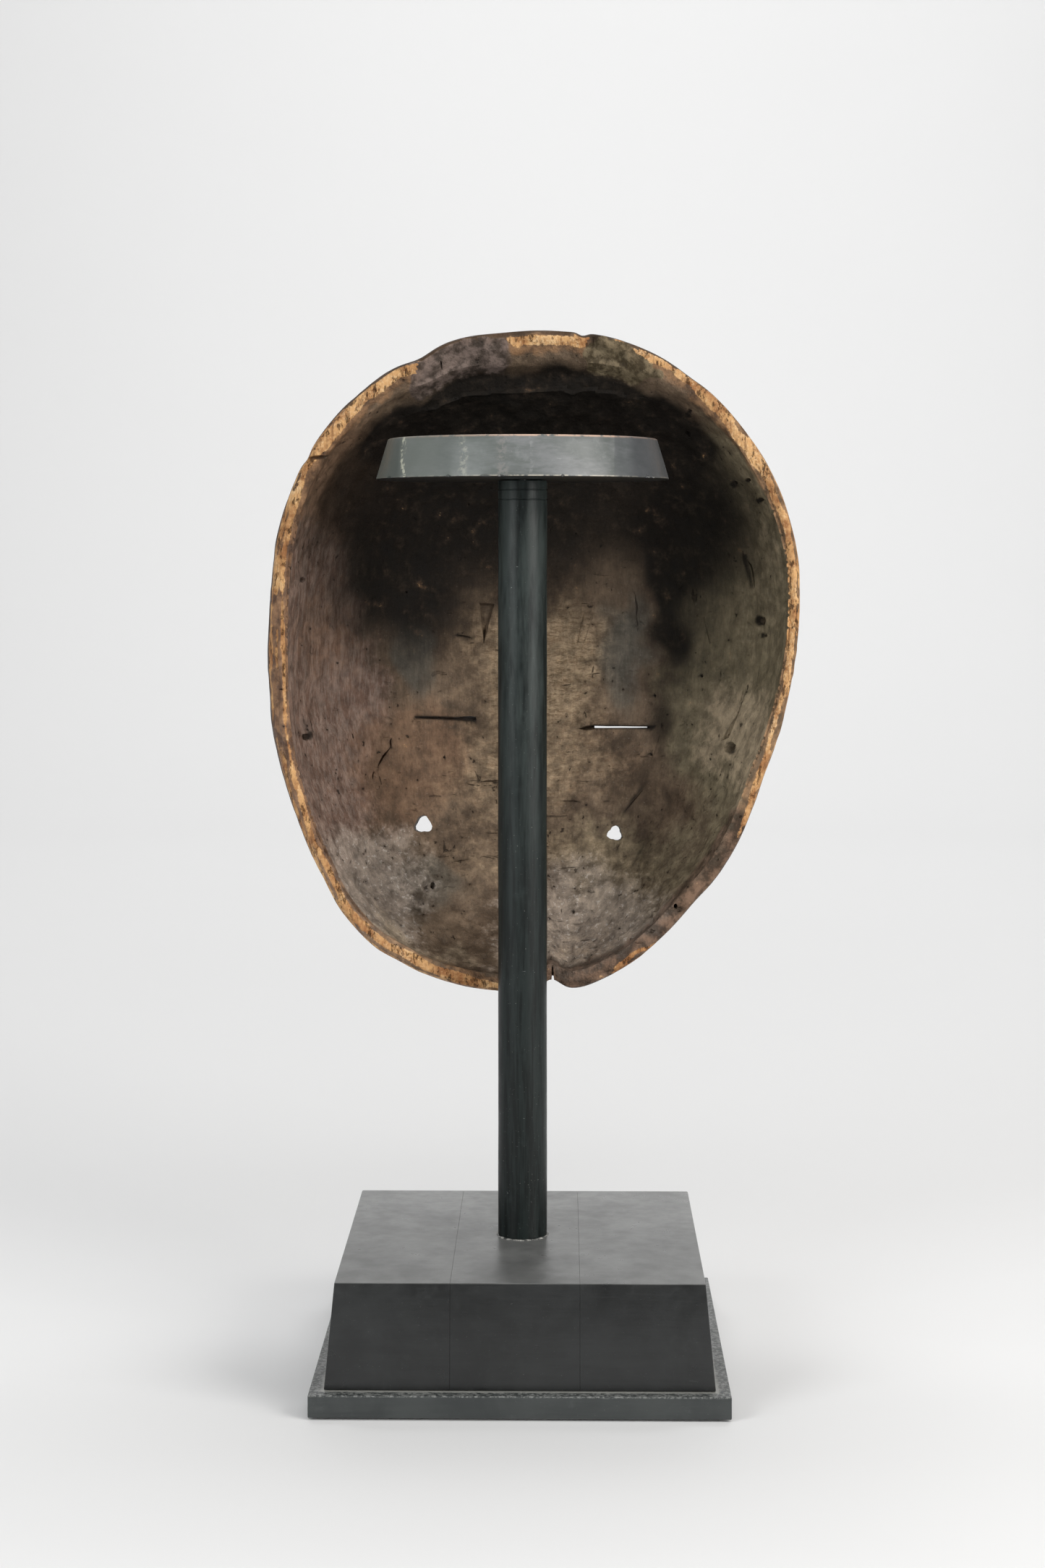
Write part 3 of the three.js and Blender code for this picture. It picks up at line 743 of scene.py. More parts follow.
def rounded_profile(corners, radius, steps=4):
    """Rounds each inner corner of a [radius, z] profile."""
    made = [corners[0]]
    for before, corner, after in zip(corners, corners[1:], corners[2:]):
        c = np.array(corner, float)
        a = np.array(before, float) - c
        b = np.array(after, float) - c
        start = c + a / np.linalg.norm(a) * radius
        end = c + b / np.linalg.norm(b) * radius
        for k in range(steps + 1):
            t = k / steps
            made.append(tuple((1 - t) ** 2 * start + 2 * t * (1 - t) * c + t * t * end))
    made.append(corners[-1])
    return made


def with_steps(profile, longest):
    """Adds points so that no stretch of a profile is longer than given."""
    made = [profile[0]]
    for a, b in zip(profile, profile[1:]):
        count = max(1, math.ceil(math.dist(a, b) / longest))
        made += [tuple(np.array(a) + (np.array(b) - np.array(a)) * k / count) for k in range(1, count + 1)]
    return made


def chip_cutters(radius, height, chips, direction):
    """Small chips out of a round edge: angle in degrees, length, depth."""
    made = []
    for k, (degrees, length, depth) in enumerate(chips):
        a = math.radians(degrees)
        out = Vector((math.cos(a), math.sin(a), direction)).normalized()
        origin = Vector((radius * math.cos(a), radius * math.sin(a), height))
        outline = ragged_line(length, length * 0.5, 0, 200 + k, 7)
        made.append(prism(f"chip_{k}", outline, origin - out * 0.2, out, depth, 3, 0.5))
    return made


def build_disc(material):
    foot, top = DISC_LOW[2], DISC_HIGH[2]
    corners = [(0, foot), (DISC_FOOT_RADIUS, foot), (DISC_TOP_RADIUS, top), (0, top)]
    profile = with_steps(rounded_profile(corners, 0.7), 4)
    piece = turned_piece("disc_head", profile, 256, 0.12, 5)
    foot_chips = [(-152, 2.0, 0.7), (-141, 3.5, 0.5), (-118, 2.2, 0.5), (-103, 4.0, 0.4), (-97, 2.4, 0.5),
                  (-74, 2.0, 0.5), (-33, 2.4, 0.8), (-29, 1.6, 0.7), (40, 3, 0.6), (150, 3, 0.6)]
    cut(piece, chip_cutters(DISC_FOOT_RADIUS - 0.3, foot + 0.3, foot_chips, -1.0))
    shade(piece, 30)
    finish_piece(piece, "stand", "stained_disc", material, "support_disc")


def build_post(material):
    foot = BLOCK_TOP - 1.5
    top = DISC_LOW[2] - 0.3
    corners = [(0, foot), (POST_RADIUS, foot), (POST_RADIUS, top), (0, top)]
    profile = with_steps(rounded_profile(corners, 0.5), 3)
    for below in (4.2, 8.6):
        z = top - below
        groove = [(POST_RADIUS, z - 0.35), (POST_RADIUS - 0.3, z - 0.1), (POST_RADIUS - 0.3, z + 0.1),
                  (POST_RADIUS, z + 0.35)]
        kept = [p for p in profile if abs(p[1] - z) > 0.6 or p[0] < POST_RADIUS - 0.6]
        place = next(i for i, p in enumerate(kept) if p[1] > z)
        profile = kept[:place] + groove + kept[place:]
    piece = turned_piece("round_post", profile, 96, 0.09, 9)
    shade(piece, 30)
    finish_piece(piece, "stand", "stained_post", material, "post")


def build_glue_ring(material):
    """The thin line of old glue round the post's foot."""
    r = POST_RADIUS
    z = BLOCK_TOP
    profile = [(r - 0.05, z - 0.25), (r + 0.85, z - 0.25), (r + 0.8, z + 0.12), (r + 0.35, z + 0.3),
               (r - 0.05, z + 0.42)]
    segments = 128
    points = []
    for rr, zz in profile:
        for k in range(segments):
            a = TURN * k / segments
            swell = 1 + 0.012 * math.sin(3 * a + 1) + 0.01 * math.sin(7 * a)
            points.append((rr * math.cos(a) * swell, rr * math.sin(a) * swell, zz))
    count = len(profile)
    faces = []
    for i in range(count):
        j = (i + 1) % count
        for k in range(segments):
            n = (k + 1) % segments
            faces.append((i * segments + k, i * segments + n, j * segments + n, j * segments + k))
    piece = new_object("post_glue_line", points, faces)
    fix_normals(piece)
    shade(piece, 40)
    finish_piece(piece, "stand", "stained_board", material)


EDGE_SOFT, SEAM_SOFT = 0.6, 0.06


def solid_from_corners(name, low_ring, high_ring, seams=()):
    """A board from its four foot and four top corners, its edges eased; seam edges stay crisp."""
    sides = [(k, (k + 1) % 4, 4 + (k + 1) % 4, 4 + k) for k in range(4)]
    piece = new_object(name, low_ring + high_ring, [(3, 2, 1, 0), (4, 5, 6, 7)] + sides)
    shape = bmesh.new()
    shape.from_mesh(piece.data)
    bmesh.ops.recalc_face_normals(shape, faces=shape.faces)

    def on_seam(edge):
        xs = [v.co.x / MM for v in edge.verts]
        return any(abs(xs[0] - s) < 0.01 and abs(xs[1] - s) < 0.01 for s in seams)

    seam_edges = [e for e in shape.edges if on_seam(e)]
    outer_edges = [e for e in shape.edges if not on_seam(e)]
    bmesh.ops.bevel(shape, geom=outer_edges, offset=EDGE_SOFT * MM, segments=3, profile=0.6, affect="EDGES",
                    clamp_overlap=True)
    if seam_edges:
        left = [e for e in shape.edges if e.is_valid and on_seam(e)]
        bmesh.ops.bevel(shape, geom=left, offset=SEAM_SOFT * MM, segments=1, affect="EDGES",
                        clamp_overlap=True)
    shape.to_mesh(piece.data)
    shape.free()
    fix_normals(piece)
    return piece


def square_ring(left, right, half, z):
    return [(left, -half, z), (right, -half, z), (right, half, z), (left, half, z)]


def build_boards(material):
    seam_gap = 0.02
    lines = [BOARD_BOXES[0][1][0] + 0.15, BOARD_BOXES[1][1][0] + 0.15]
    f, t = BLOCK_HALF_FOOT, BLOCK_HALF_FOOT - BLOCK_TAPER
    spans = [(-f, -t, lines[0] - seam_gap, lines[0] - seam_gap),
             (lines[0] + seam_gap, lines[0] + seam_gap, lines[1] - seam_gap, lines[1] - seam_gap),
             (lines[1] + seam_gap, lines[1] + seam_gap, f, t)]
    for name, (foot_a, top_a, foot_b, top_b) in zip(BOARD_NAMES, spans):
        low = square_ring(foot_a, foot_b, f, BLOCK_FOOT)
        high = square_ring(top_a, top_b, t, BLOCK_TOP)
        seams = [line + side * seam_gap for line in lines for side in (-1, 1)]
        piece = solid_from_corners(name.replace("block_board", "stained_board"), low, high, seams)
        if name == "block_board_middle":
            bore = turned_piece("socket", [(0, BLOCK_TOP - 20), (POST_RADIUS + 0.12, BLOCK_TOP - 20),
                                           (POST_RADIUS + 0.12, BLOCK_TOP + 5), (0, BLOCK_TOP + 5)], 96)
            cut(piece, [bore])
        shade(piece, 25)
        finish_piece(piece, "stand", "stained_board", material, name)


def build_plinth(material):
    h = PLINTH_HIGH[0]
    piece = solid_from_corners("stained_plinth", square_ring(-h, h, h, PLINTH_LOW[2]),
                               square_ring(-h, h, h, PLINTH_HIGH[2]))
    shade(piece, 25)
    finish_piece(piece, "stand", "stained_plinth", material, "plinth_board")


def build_felt(material):
    """A thin felt sheet with a slightly ragged cut edge."""
    half = FELT_HIGH[0]
    steps = 170
    line = np.linspace(-half, half, steps + 1)
    x, y = np.meshgrid(line, line, indexing="ij")
    flat = np.column_stack([x.ravel(), y.ravel(), np.zeros(x.size)])
    edge = (np.abs(flat[:, :2]).max(1) > half - 0.5)[:, None]
    flat[:, :2] += edge * 0.25 * np.column_stack([noise(flat, 2, 3), noise(flat, 2, 4)])
    flat[:, :2] = np.clip(flat[:, :2], -half, half)
    top, foot = flat.copy(), flat.copy()
    top[:, 2] = FELT_HIGH[2]
    foot[:, 2] = FELT_LOW[2]
    side = steps + 1
    cell = (np.arange(steps)[:, None] * side + np.arange(steps)[None, :]).ravel()
    quads = np.column_stack([cell, cell + side, cell + side + 1, cell + 1])
    border = grid_border(steps)
    count = len(flat)
    walls = np.column_stack([border, np.roll(border, -1), np.roll(border, -1) + count, border + count])
    faces = np.vstack([quads, quads[:, ::-1] + count, walls])
    piece = new_object("felt_sheet", np.vstack([top, foot]), faces)
    fix_normals(piece)
    finish_piece(piece, "stand", "felt", material, "base_felt")


# ---------------------------------------------------------------- shader helpers
class Tree:
    """Short calls for adding and joining nodes in one node tree."""

    def __init__(self, tree):
        self.tree = tree

    def add(self, kind, inputs=None, **settings):
        node = self.tree.nodes.new(kind)
        for name, value in settings.items():
            setattr(node, name, value)
        for name, value in (inputs or {}).items():
            self.feed(node.inputs[name], value)
        return node

    def feed(self, socket, value):
        if isinstance(value, bpy.types.NodeSocket):
            self.tree.links.new(value, socket)
        else:
            socket.default_value = value

    def math(self, operation, a, b=0.0, clamp=False):
        return self.add("ShaderNodeMath", {0: a, 1: b}, operation=operation, use_clamp=clamp).outputs[0]

    def times(self, a, b, clamp=False):
        return self.math("MULTIPLY", a, b, clamp)

    def plus(self, a, b, clamp=False):
        return self.math("ADD", a, b, clamp)

    def minus(self, a, b, clamp=False):
        return self.math("SUBTRACT", a, b, clamp)

    def most(self, a, b):
        return self.math("MAXIMUM", a, b)

    def mix(self, factor, a, b, blend="MIX"):
        node = self.add("ShaderNodeMix", data_type="RGBA", blend_type=blend, clamp_factor=True)
        self.feed(node.inputs[0], factor)
        self.feed(node.inputs[6], rgba(a))
        self.feed(node.inputs[7], rgba(b))
        return node.outputs[2]

    def ramp(self, value, low, high, out_low=0.0, out_high=1.0):
        node = self.add("ShaderNodeMapRange", {"Value": value, "From Min": low, "From Max": high,
                                               "To Min": out_low, "To Max": out_high},
                        interpolation_type="SMOOTHSTEP")
        return node.outputs[0]

    def noise(self, vector, scale, detail=3.0, rough=0.55, distortion=0.0):
        return self.add("ShaderNodeTexNoise", {"Vector": vector, "Scale": scale, "Detail": detail,
                                               "Roughness": rough, "Distortion": distortion}).outputs[0]

    def stretch(self, vector, scale, turn=(0, 0, 0)):
        return self.add("ShaderNodeMapping", {"Vector": vector, "Scale": scale, "Rotation": turn}).outputs[0]

    def axes(self, vector):
        return self.add("ShaderNodeSeparateXYZ", {0: vector}).outputs

    def place(self):
        return self.add("ShaderNodeTexCoord").outputs["Object"]

    def masks(self, name):
        colour = self.add("ShaderNodeAttribute", attribute_name=name).outputs["Color"]
        return self.add("ShaderNodeSeparateColor", {0: colour}).outputs

    def use(self, group, inputs):
        return self.add("ShaderNodeGroup", inputs, node_tree=group).outputs


def rgba(value):
    return value if isinstance(value, bpy.types.NodeSocket) else (*value[:3], 1.0)


def new_group(name, inputs, outputs):
    group = bpy.data.node_groups.new(name, "ShaderNodeTree")
    for socket, kind, value in inputs:
        made = group.interface.new_socket(socket, in_out="INPUT", socket_type=kind)
        if value is not None:
            made.default_value = value
    for socket, kind in outputs:
        group.interface.new_socket(socket, in_out="OUTPUT", socket_type=kind)
    tree = Tree(group)
    return group, tree, tree.add("NodeGroupInput").outputs, tree.add("NodeGroupOutput").inputs


FLOAT, VECTOR = "NodeSocketFloat", "NodeSocketVector"


def grain_group():
    """Wood fibre drawn out along one axis: a streak mask and a fine height."""
    group, t, given, out = new_group(
        "Wood fibre",
        [("Place", VECTOR, None), ("Fibre", VECTOR, (1, 1, 0.12)), ("Scale", FLOAT, 600.0),
         ("Contrast", FLOAT, 1.0)],
        [("Streak", FLOAT), ("Height", FLOAT)])
    drawn = t.add("ShaderNodeVectorMath", {0: given["Place"], 1: given["Fibre"]}, operation="MULTIPLY")
    drawn = drawn.outputs[0]
    wide = t.noise(drawn, given["Scale"], 4, 0.6, 0.3)
    fine = t.noise(drawn, t.times(given["Scale"], 3.1), 3, 0.6)
    both = t.plus(t.times(wide, 0.6), t.times(fine, 0.4))
    centred = t.times(t.minus(both, 0.5), given["Contrast"])
    t.feed(out["Streak"], t.plus(centred, 0.5, True))
    t.feed(out["Height"], both)
    return group


def scratch_group():
    """Fine light scratches and specks."""
    group, t, given, out = new_group(
        "Scratches and specks",
        [("Place", VECTOR, None), ("Scale", FLOAT, 60.0), ("Amount", FLOAT, 0.5)],
        [("Scratch", FLOAT), ("Speck", FLOAT)])
    marks = []
    for k, turn in enumerate(((0.3, 0.5, 0.9), (1.1, 0.2, 2.1), (0.1, 2.2, 1.4))):
        drawn = t.stretch(given["Place"], (1.0, 14.0, 14.0), turn)
        lines = t.noise(drawn, given["Scale"], 2, 0.5, 0.2 + 0.1 * k)
        thin = t.ramp(lines, 0.735, 0.765)
        gate = t.ramp(t.noise(given["Place"], 45.0 + 13 * k, 2), 0.56, 0.66)
        marks.append(t.times(thin, gate))
    both = t.most(t.most(marks[0], marks[1]), marks[2])
    t.feed(out["Scratch"], t.times(both, given["Amount"], True))
    speck = t.ramp(t.noise(given["Place"], t.times(given["Scale"], 22.0), 1, 0.5), 0.745, 0.79)
    t.feed(out["Speck"], t.times(speck, given["Amount"], True))
    return group


def band_group():
    """1 close to a round edge of given height and radius, broken up by wear."""
    group, t, given, out = new_group(
        "Worn edge line",
        [("Place", VECTOR, None), ("Height", FLOAT, 0.0), ("Radius", FLOAT, 0.06), ("Width", FLOAT, 0.0006),
         ("Break", FLOAT, 0.5)],
        [("Mask", FLOAT)])
    split = t.axes(given["Place"])
    flat = t.add("ShaderNodeCombineXYZ", {0: split[0], 1: split[1], 2: 0.0}).outputs[0]
    reach = t.add("ShaderNodeVectorMath", {0: flat}, operation="LENGTH").outputs[1]
    gap = t.math("ABSOLUTE", t.minus(split[2], given["Height"]))
    gap = t.most(gap, t.minus(given["Radius"], reach))
    share = t.math("DIVIDE", gap, given["Width"])
    line = t.ramp(share, 1.25, 0.45)
    wear = t.ramp(t.noise(given["Place"], 240.0, 4, 0.7), t.times(given["Break"], 0.8),
                  t.plus(t.times(given["Break"], 0.8), 0.16))
    t.feed(out["Mask"], t.times(line, wear, True))
    return group


def new_material(name):
    material = bpy.data.materials.new(name)
    material.use_nodes = True
    tree = Tree(material.node_tree)
    shader = material.node_tree.nodes["Principled BSDF"]
    return material, tree, shader


def bump(tree, shader, height, strength, distance):
    node = tree.add("ShaderNodeBump", {"Height": height, "Strength": strength, "Distance": distance})
    tree.feed(shader.inputs["Normal"], node.outputs[0])


# ---------------------------------------------------------------- materials
def carved_wood():
    material, t, shader = new_material("old carved wood")
    place = t.place()
    bare_mask, fade, inside = t.masks("rim_wear")[:3]
    eroded, olive_chip, weathered = t.masks("rim_tone")[:3]
    torn, soot_and_shade, grey = t.masks("hollow_tone")[:3]
    mauve, olive, ruddy = t.masks("hollow_tint")[:3]
    high, pale, cold = t.masks("face_tone")[:3]

    cloud = t.noise(place, 34.0, 5, 0.62, 0.4)
    mottle = t.noise(place, 150.0, 5, 0.65)
    fine = t.noise(place, 620.0, 4, 0.7)
    upright = t.use(groups["fibre"], {"Place": place, "Fibre": (1, 1, 0.16), "Scale": 420.0, "Contrast": 2.2})
    level = t.use(groups["fibre"], {"Place": place, "Fibre": (0.34, 1, 1), "Scale": 560.0, "Contrast": 2.0})

    def patch(mask, low=0.2, high_edge=0.9, break_up=0.45):
        rough = t.times(t.minus(mottle, 0.5), break_up * 2)
        return t.ramp(t.plus(mask, rough), low, high_edge)

    base = t.mix(t.ramp(cloud, 0.35, 0.68), (0.090, 0.061, 0.040), (0.170, 0.120, 0.080))
    # mauve and olive below also paint the tinted light on the left and right walls
    mauve_tone = t.mix(t.ramp(upright["Streak"], 0.3, 0.7), (0.185, 0.112, 0.084), (0.245, 0.178, 0.146))
    for mask, edges, amount, tone in ((mauve, (), 0.85, mauve_tone), (olive, (), 0.78, (0.165, 0.140, 0.088)),
                                      (ruddy, (0.3, 1.0), 0.55, (0.190, 0.110, 0.066)),
                                      (cold, (0.3, 1.0), 0.75, (0.078, 0.076, 0.064)),
                                      (grey, (0.3, 1.0, 0.7), 0.65, (0.345, 0.288, 0.240))):
        base = t.mix(t.times(patch(mask, *edges), amount), base, tone)
    fleck = t.ramp(t.noise(place, 460.0, 3, 0.7), 0.57, 0.66)
    base = t.mix(t.times(t.times(fleck, 0.6), patch(grey, 0.2, 0.9, 0.5)), base, (0.52, 0.47, 0.42))
    torn_tan = t.mix(t.ramp(level["Streak"], 0.2, 0.75), (0.19, 0.13, 0.078), (0.40, 0.30, 0.195))
    base = t.mix(t.times(patch(torn, 0.1, 1.0, 0.4), 0.92), base, torn_tan)
    # pale patches; the band along the lower-left inner rim is a painted sheen
    base = t.mix(t.times(patch(pale, 0.2, 1.1, 0.6), 0.6), base, (0.38, 0.30, 0.205))
    # near-black for the soot and for the painted shade of the hollow
    black = t.mix(t.ramp(mottle, 0.5, 0.68), (0.006, 0.0048, 0.0036), (0.016, 0.012, 0.009))
    base = t.mix(t.times(t.ramp(t.plus(soot_and_shade, t.times(mottle, 0.3)), 0.15, 1.1), 0.97), base, black)
    streak = t.ramp(upright["Streak"], 0.15, 0.85, 0.84, 1.16)
    blotch = t.times(streak, t.ramp(mottle, 0.3, 0.7, 0.68, 1.34))
    base = t.mix(1.0, base, t.add("ShaderNodeCombineColor", {0: blotch, 1: blotch, 2: blotch}).outputs[0],
                 "MULTIPLY")
    dust = t.times(t.ramp(t.noise(place, 900.0, 3, 0.75), 0.60, 0.74), t.minus(1.0, soot_and_shade, True))
    base = t.mix(t.times(dust, 0.25), base, (0.40, 0.35, 0.29))
    tall_check = t.ramp(t.noise(t.stretch(place, (1, 1, 0.10)), 260.0, 3, 0.6, 0.5), 0.305, 0.265)
    level_check = t.ramp(t.noise(t.stretch(place, (0.13, 1, 1)), 330.0, 3, 0.6, 0.5), 0.335, 0.29)
    pock = t.ramp(t.noise(place, 300.0, 2, 0.5), 0.29, 0.24)
    level_part = t.times(level_check, t.plus(t.times(torn, 1.4), 0.25, True))
    flaws = t.most(t.most(tall_check, level_part), pock)
    base = t.mix(t.times(flaws, 0.75), base, (0.018, 0.013, 0.009))

    face = t.mix(t.ramp(cloud, 0.3, 0.7), (0.035, 0.023, 0.014), (0.085, 0.050, 0.030))
    raised = t.ramp(t.plus(high, t.times(mottle, 0.6)), 0.75, 1.4)
    face = t.mix(t.times(raised, 0.6), face, (0.21, 0.118, 0.062))
    face = t.mix(t.times(t.ramp(mottle, 0.56, 0.72), 0.35), face, (0.15, 0.128, 0.10))
    base = t.mix(inside, face, base)

    pores = t.ramp(t.noise(t.stretch(place, (1, 1, 0.4)), 380.0, 5, 0.75), 0.46, 0.34)
    rim_layers = ((fade, (0.2, 1.0, 0.9), 0.75, (0.35, 0.65), (0.085, 0.042, 0.022), (0.30, 0.165, 0.082)),
                  (eroded, (0.3, 0.8, 0.6), 0.85, (0.4, 0.62), (0.045, 0.034, 0.028), (0.185, 0.140, 0.122)),
                  (olive_chip, (0.3, 0.7), 0.9, (0.4, 0.62), (0.055, 0.041, 0.022), (0.19, 0.150, 0.092)),
                  (weathered, (0.3, 0.9, 0.8), 0.8, (0.4, 0.65),
                   (0.040, 0.026, 0.018), (0.165, 0.105, 0.075)))
    for mask, edges, amount, spread, dark, light in rim_layers:
        base = t.mix(t.times(patch(mask, *edges), amount), base, t.mix(t.ramp(mottle, *spread), dark, light))
    rim_tone = t.ramp(t.plus(t.times(mottle, 0.6), t.times(cloud, 0.4)), 0.38, 0.6)
    bare = t.mix(rim_tone, (0.27, 0.115, 0.042), (0.60, 0.345, 0.150))
    bare = t.mix(t.times(t.ramp(t.plus(t.times(fine, 0.5), t.times(cloud, 0.5)), 0.5, 0.62), 0.6), bare,
                 (0.76, 0.53, 0.30))
    run = t.noise(t.stretch(place, (1, 1, 0.12)), 520.0, 4, 0.65)
    bare = t.mix(t.times(t.ramp(run, 0.47, 0.36), 0.6), bare, (0.15, 0.070, 0.030))
    bare = t.mix(t.times(pores, 0.9), bare, (0.075, 0.036, 0.018))
    broken = t.minus(t.plus(t.times(mottle, 0.6), t.times(fine, 0.4)), 0.5)
    edge = t.ramp(t.plus(bare_mask, t.times(broken, 2.6)), 0.36, 0.62)
    base = t.mix(edge, base, bare)
    t.feed(shader.inputs["Base Color"], base)

    rough = t.ramp(mottle, 0.3, 0.7, 0.42, 0.68)
    rough = t.plus(t.plus(rough, t.times(torn, 0.2)), t.times(soot_and_shade, 0.2))
    t.feed(shader.inputs["Roughness"], t.minus(rough, t.times(edge, 0.06), True))

    height = t.plus(t.plus(t.times(mottle, 0.8), t.times(fine, 0.35)), t.times(upright["Height"], 0.5))
    height = t.plus(height, t.times(t.times(level["Streak"], torn), 1.2))
    height = t.minus(height, t.times(pores, t.times(edge, 0.7)))
    height = t.minus(height, t.times(flaws, 0.8))
    shader.inputs["Specular IOR Level"].default_value = 0.15
    bump(t, shader, height, 1.0, 0.0014)
    return material


def black_stain(name, dark, light, rough, grain, scratch, dust, cloudy, gloss=1.5, edges=()):
    """Black-stained wood: grain, a worn sheen, scratches, worn lines along chosen edges, and a last layer
    from the function given as dust, which on some materials paints light and shade.
    """
    material, t, shader = new_material(name)
    place = t.place()
    fibre = t.use(groups["fibre"], {"Place": place, "Fibre": grain, "Scale": 330.0, "Contrast": 2.4})
    marks = t.use(groups["scratch"], {"Place": place, "Scale": 70.0, "Amount": scratch})
    cloud = t.noise(place, 26.0, 5, 0.6, 0.5)
    mottle = t.noise(place, 130.0, 5, 0.65)
    tone = t.plus(t.times(cloud, cloudy), t.times(fibre["Streak"], 1 - cloudy))
    base = t.mix(t.ramp(tone, 0.35, 0.65), dark, light)
    base = t.mix(t.times(t.ramp(mottle, 0.55, 0.75), 0.25), base, tuple(2.2 * c for c in light))
    base = t.mix(t.times(marks["Scratch"], 0.75), base, (0.36, 0.37, 0.36))
    base = t.mix(t.times(marks["Speck"], 0.5), base, (0.30, 0.30, 0.28))
    for height, radius, width, gaps, colour in edges:
        line = t.use(groups["band"], {"Place": place, "Height": height * MM, "Radius": radius * MM,
                                      "Width": width * MM, "Break": gaps})
        base = t.mix(line["Mask"], base, colour)
    # the last layer given as dust adds per material: dust on the plinth, dust and painted sheen on the block
    # top, a painted highlight on the post, scuffs and painted shading on the disc
    t.feed(shader.inputs["Base Color"], dust(t, place, base))
    t.feed(shader.inputs["Roughness"], t.ramp(t.plus(t.times(mottle, 0.6),
                                                     t.times(cloud, 0.4)), 0.35, 0.65,
                                              *rough))
    shader.inputs["IOR"].default_value = gloss
    height = t.plus(fibre["Height"], t.times(mottle, 0.5))
    bump(t, shader, height, 0.22, 0.00022)
    return material


def plinth_dust(t, place, base):
    """Pale dust lying on the plinth along the foot of the block."""
    split = t.axes(place)
    reach = t.most(t.math("ABSOLUTE", split[0]), t.math("ABSOLUTE", split[1]))
    from_block = t.minus(reach, BLOCK_HALF_FOOT * MM)
    wander = t.times(t.noise(place, 210.0, 4, 0.7), 0.0022)
    near = t.ramp(t.minus(from_block, wander), 0.0012, -0.0006)
    top = t.ramp(split[2], (PLINTH_HIGH[2] - 0.9) * MM, (PLINTH_HIGH[2] - 0.2) * MM)
    speckle = t.ramp(t.noise(place, 700.0, 3, 0.7), 0.42, 0.62)
    film = t.times(t.times(top, speckle), 0.6)
    base = t.mix(film, base, (0.30, 0.305, 0.29))
    return t.mix(t.times(t.times(near, top), 0.8), base, (0.30, 0.30, 0.275))


def block_top_dust_and_sheen(t, place, base):
    """A thin even film of dust and painted sheen over the top of the block, lightening the top against the
    dark sides.
    """
    split = t.axes(place)
    top = t.ramp(split[2], (BLOCK_TOP - 0.5) * MM, (BLOCK_TOP - 0.05) * MM)
    haze = t.ramp(t.noise(place, 40.0, 5, 0.6), 0.3, 0.7, 0.6, 1.0)
    return t.mix(t.times(t.times(top, haze), 0.85), base, (0.185, 0.187, 0.182))


def post_upper_painted_highlight(t, place, base):
    """The upper half of the post painted paler in streaks: a painted highlight for the sheen it catches
    there.
    """
    split = t.axes(place)
    high = t.ramp(split[2], 0.16, 0.36)
    worn = t.ramp(t.noise(t.stretch(place, (1, 1, 0.15)), 180.0, 5, 0.65), 0.35, 0.65)
    return t.mix(t.times(t.times(high, worn), 0.55), base, (0.054, 0.066, 0.062))


# painted light and shade across the disc's near side: a dark line past a painted reflection band's edge, a
# lighter painted left part and darker painted ends; from, to, colour, strength
DISC_PAINTED_SHADING = [(41.0, 41.8, (0.062, 0.066, 0.072), 0.5), (8.0, -30.0, (0.098, 0.115, 0.100), 0.55),
               (-30.0, -42.0, (0.200, 0.215, 0.198), 0.5), (-49.5, -54.0, (0.040, 0.048, 0.041), 0.6),
               (46.0, 52.0, (0.030, 0.032, 0.036), 0.5)]
# pale scuffs down the disc's side: across, width, colour, strength
DISC_SCUFFS = [(-51.5, 1.1, (0.50, 0.50, 0.40), 0.9), (-24.5, 2.6, (0.36, 0.36, 0.29), 0.45),
               (-8, 4.0, (0.30, 0.26, 0.24), 0.25), (5, 1.0, (0.30, 0.30, 0.30), 0.3)]


def disc_scuffs_and_painted_shading(t, place, base):
    """Painted light and shade across the disc's near side with its darker painted ends, the pale scuffs
    rubbed across its side, and its underside painted dark as shade.
    """
    split = t.axes(place)
    near = t.ramp(split[1], 0.0, -0.01)
    side = t.plus(split[0], t.times(t.noise(place, 60.0, 3), 0.002))
    for start, end, tone, strength in DISC_PAINTED_SHADING:
        part = t.times(t.ramp(side, start * MM, end * MM), near)
        base = t.mix(t.times(part, strength), base, tone)
    for across, width, tone, strength in DISC_SCUFFS:
        wander = t.times(t.minus(t.noise(place, 120.0, 4, 0.7), 0.5), 0.006)
        gap = t.math("ABSOLUTE", t.minus(t.plus(split[0], wander), across * MM))
        line = t.ramp(gap, width * MM, 0.2 * width * MM)
        worn = t.ramp(t.noise(place, 420.0, 4, 0.7), 0.44, 0.58)
        base = t.mix(t.times(t.times(t.times(line, worn), near), strength),
                     base, tone)
    # the disc's underside painted near-black as shade
    underside_painted_shade = t.ramp(split[2], (DISC_LOW[2] + 0.5) * MM, (DISC_LOW[2] + 0.1) * MM)
    return t.mix(underside_painted_shade, base, (0.010, 0.011, 0.011))


def old_glue():
    material, t, shader = new_material("old glue")
    place = t.place()
    tone = t.noise(place, 500.0, 4, 0.7)
    base = t.mix(t.ramp(tone, 0.4, 0.62), (0.05, 0.052, 0.05), (0.42, 0.41, 0.38))
    t.feed(shader.inputs["Base Color"], base)
    t.feed(shader.inputs["Roughness"], t.ramp(tone, 0.3, 0.7, 0.4, 0.7))
    bump(t, shader, tone, 0.4, 0.0003)
    return material


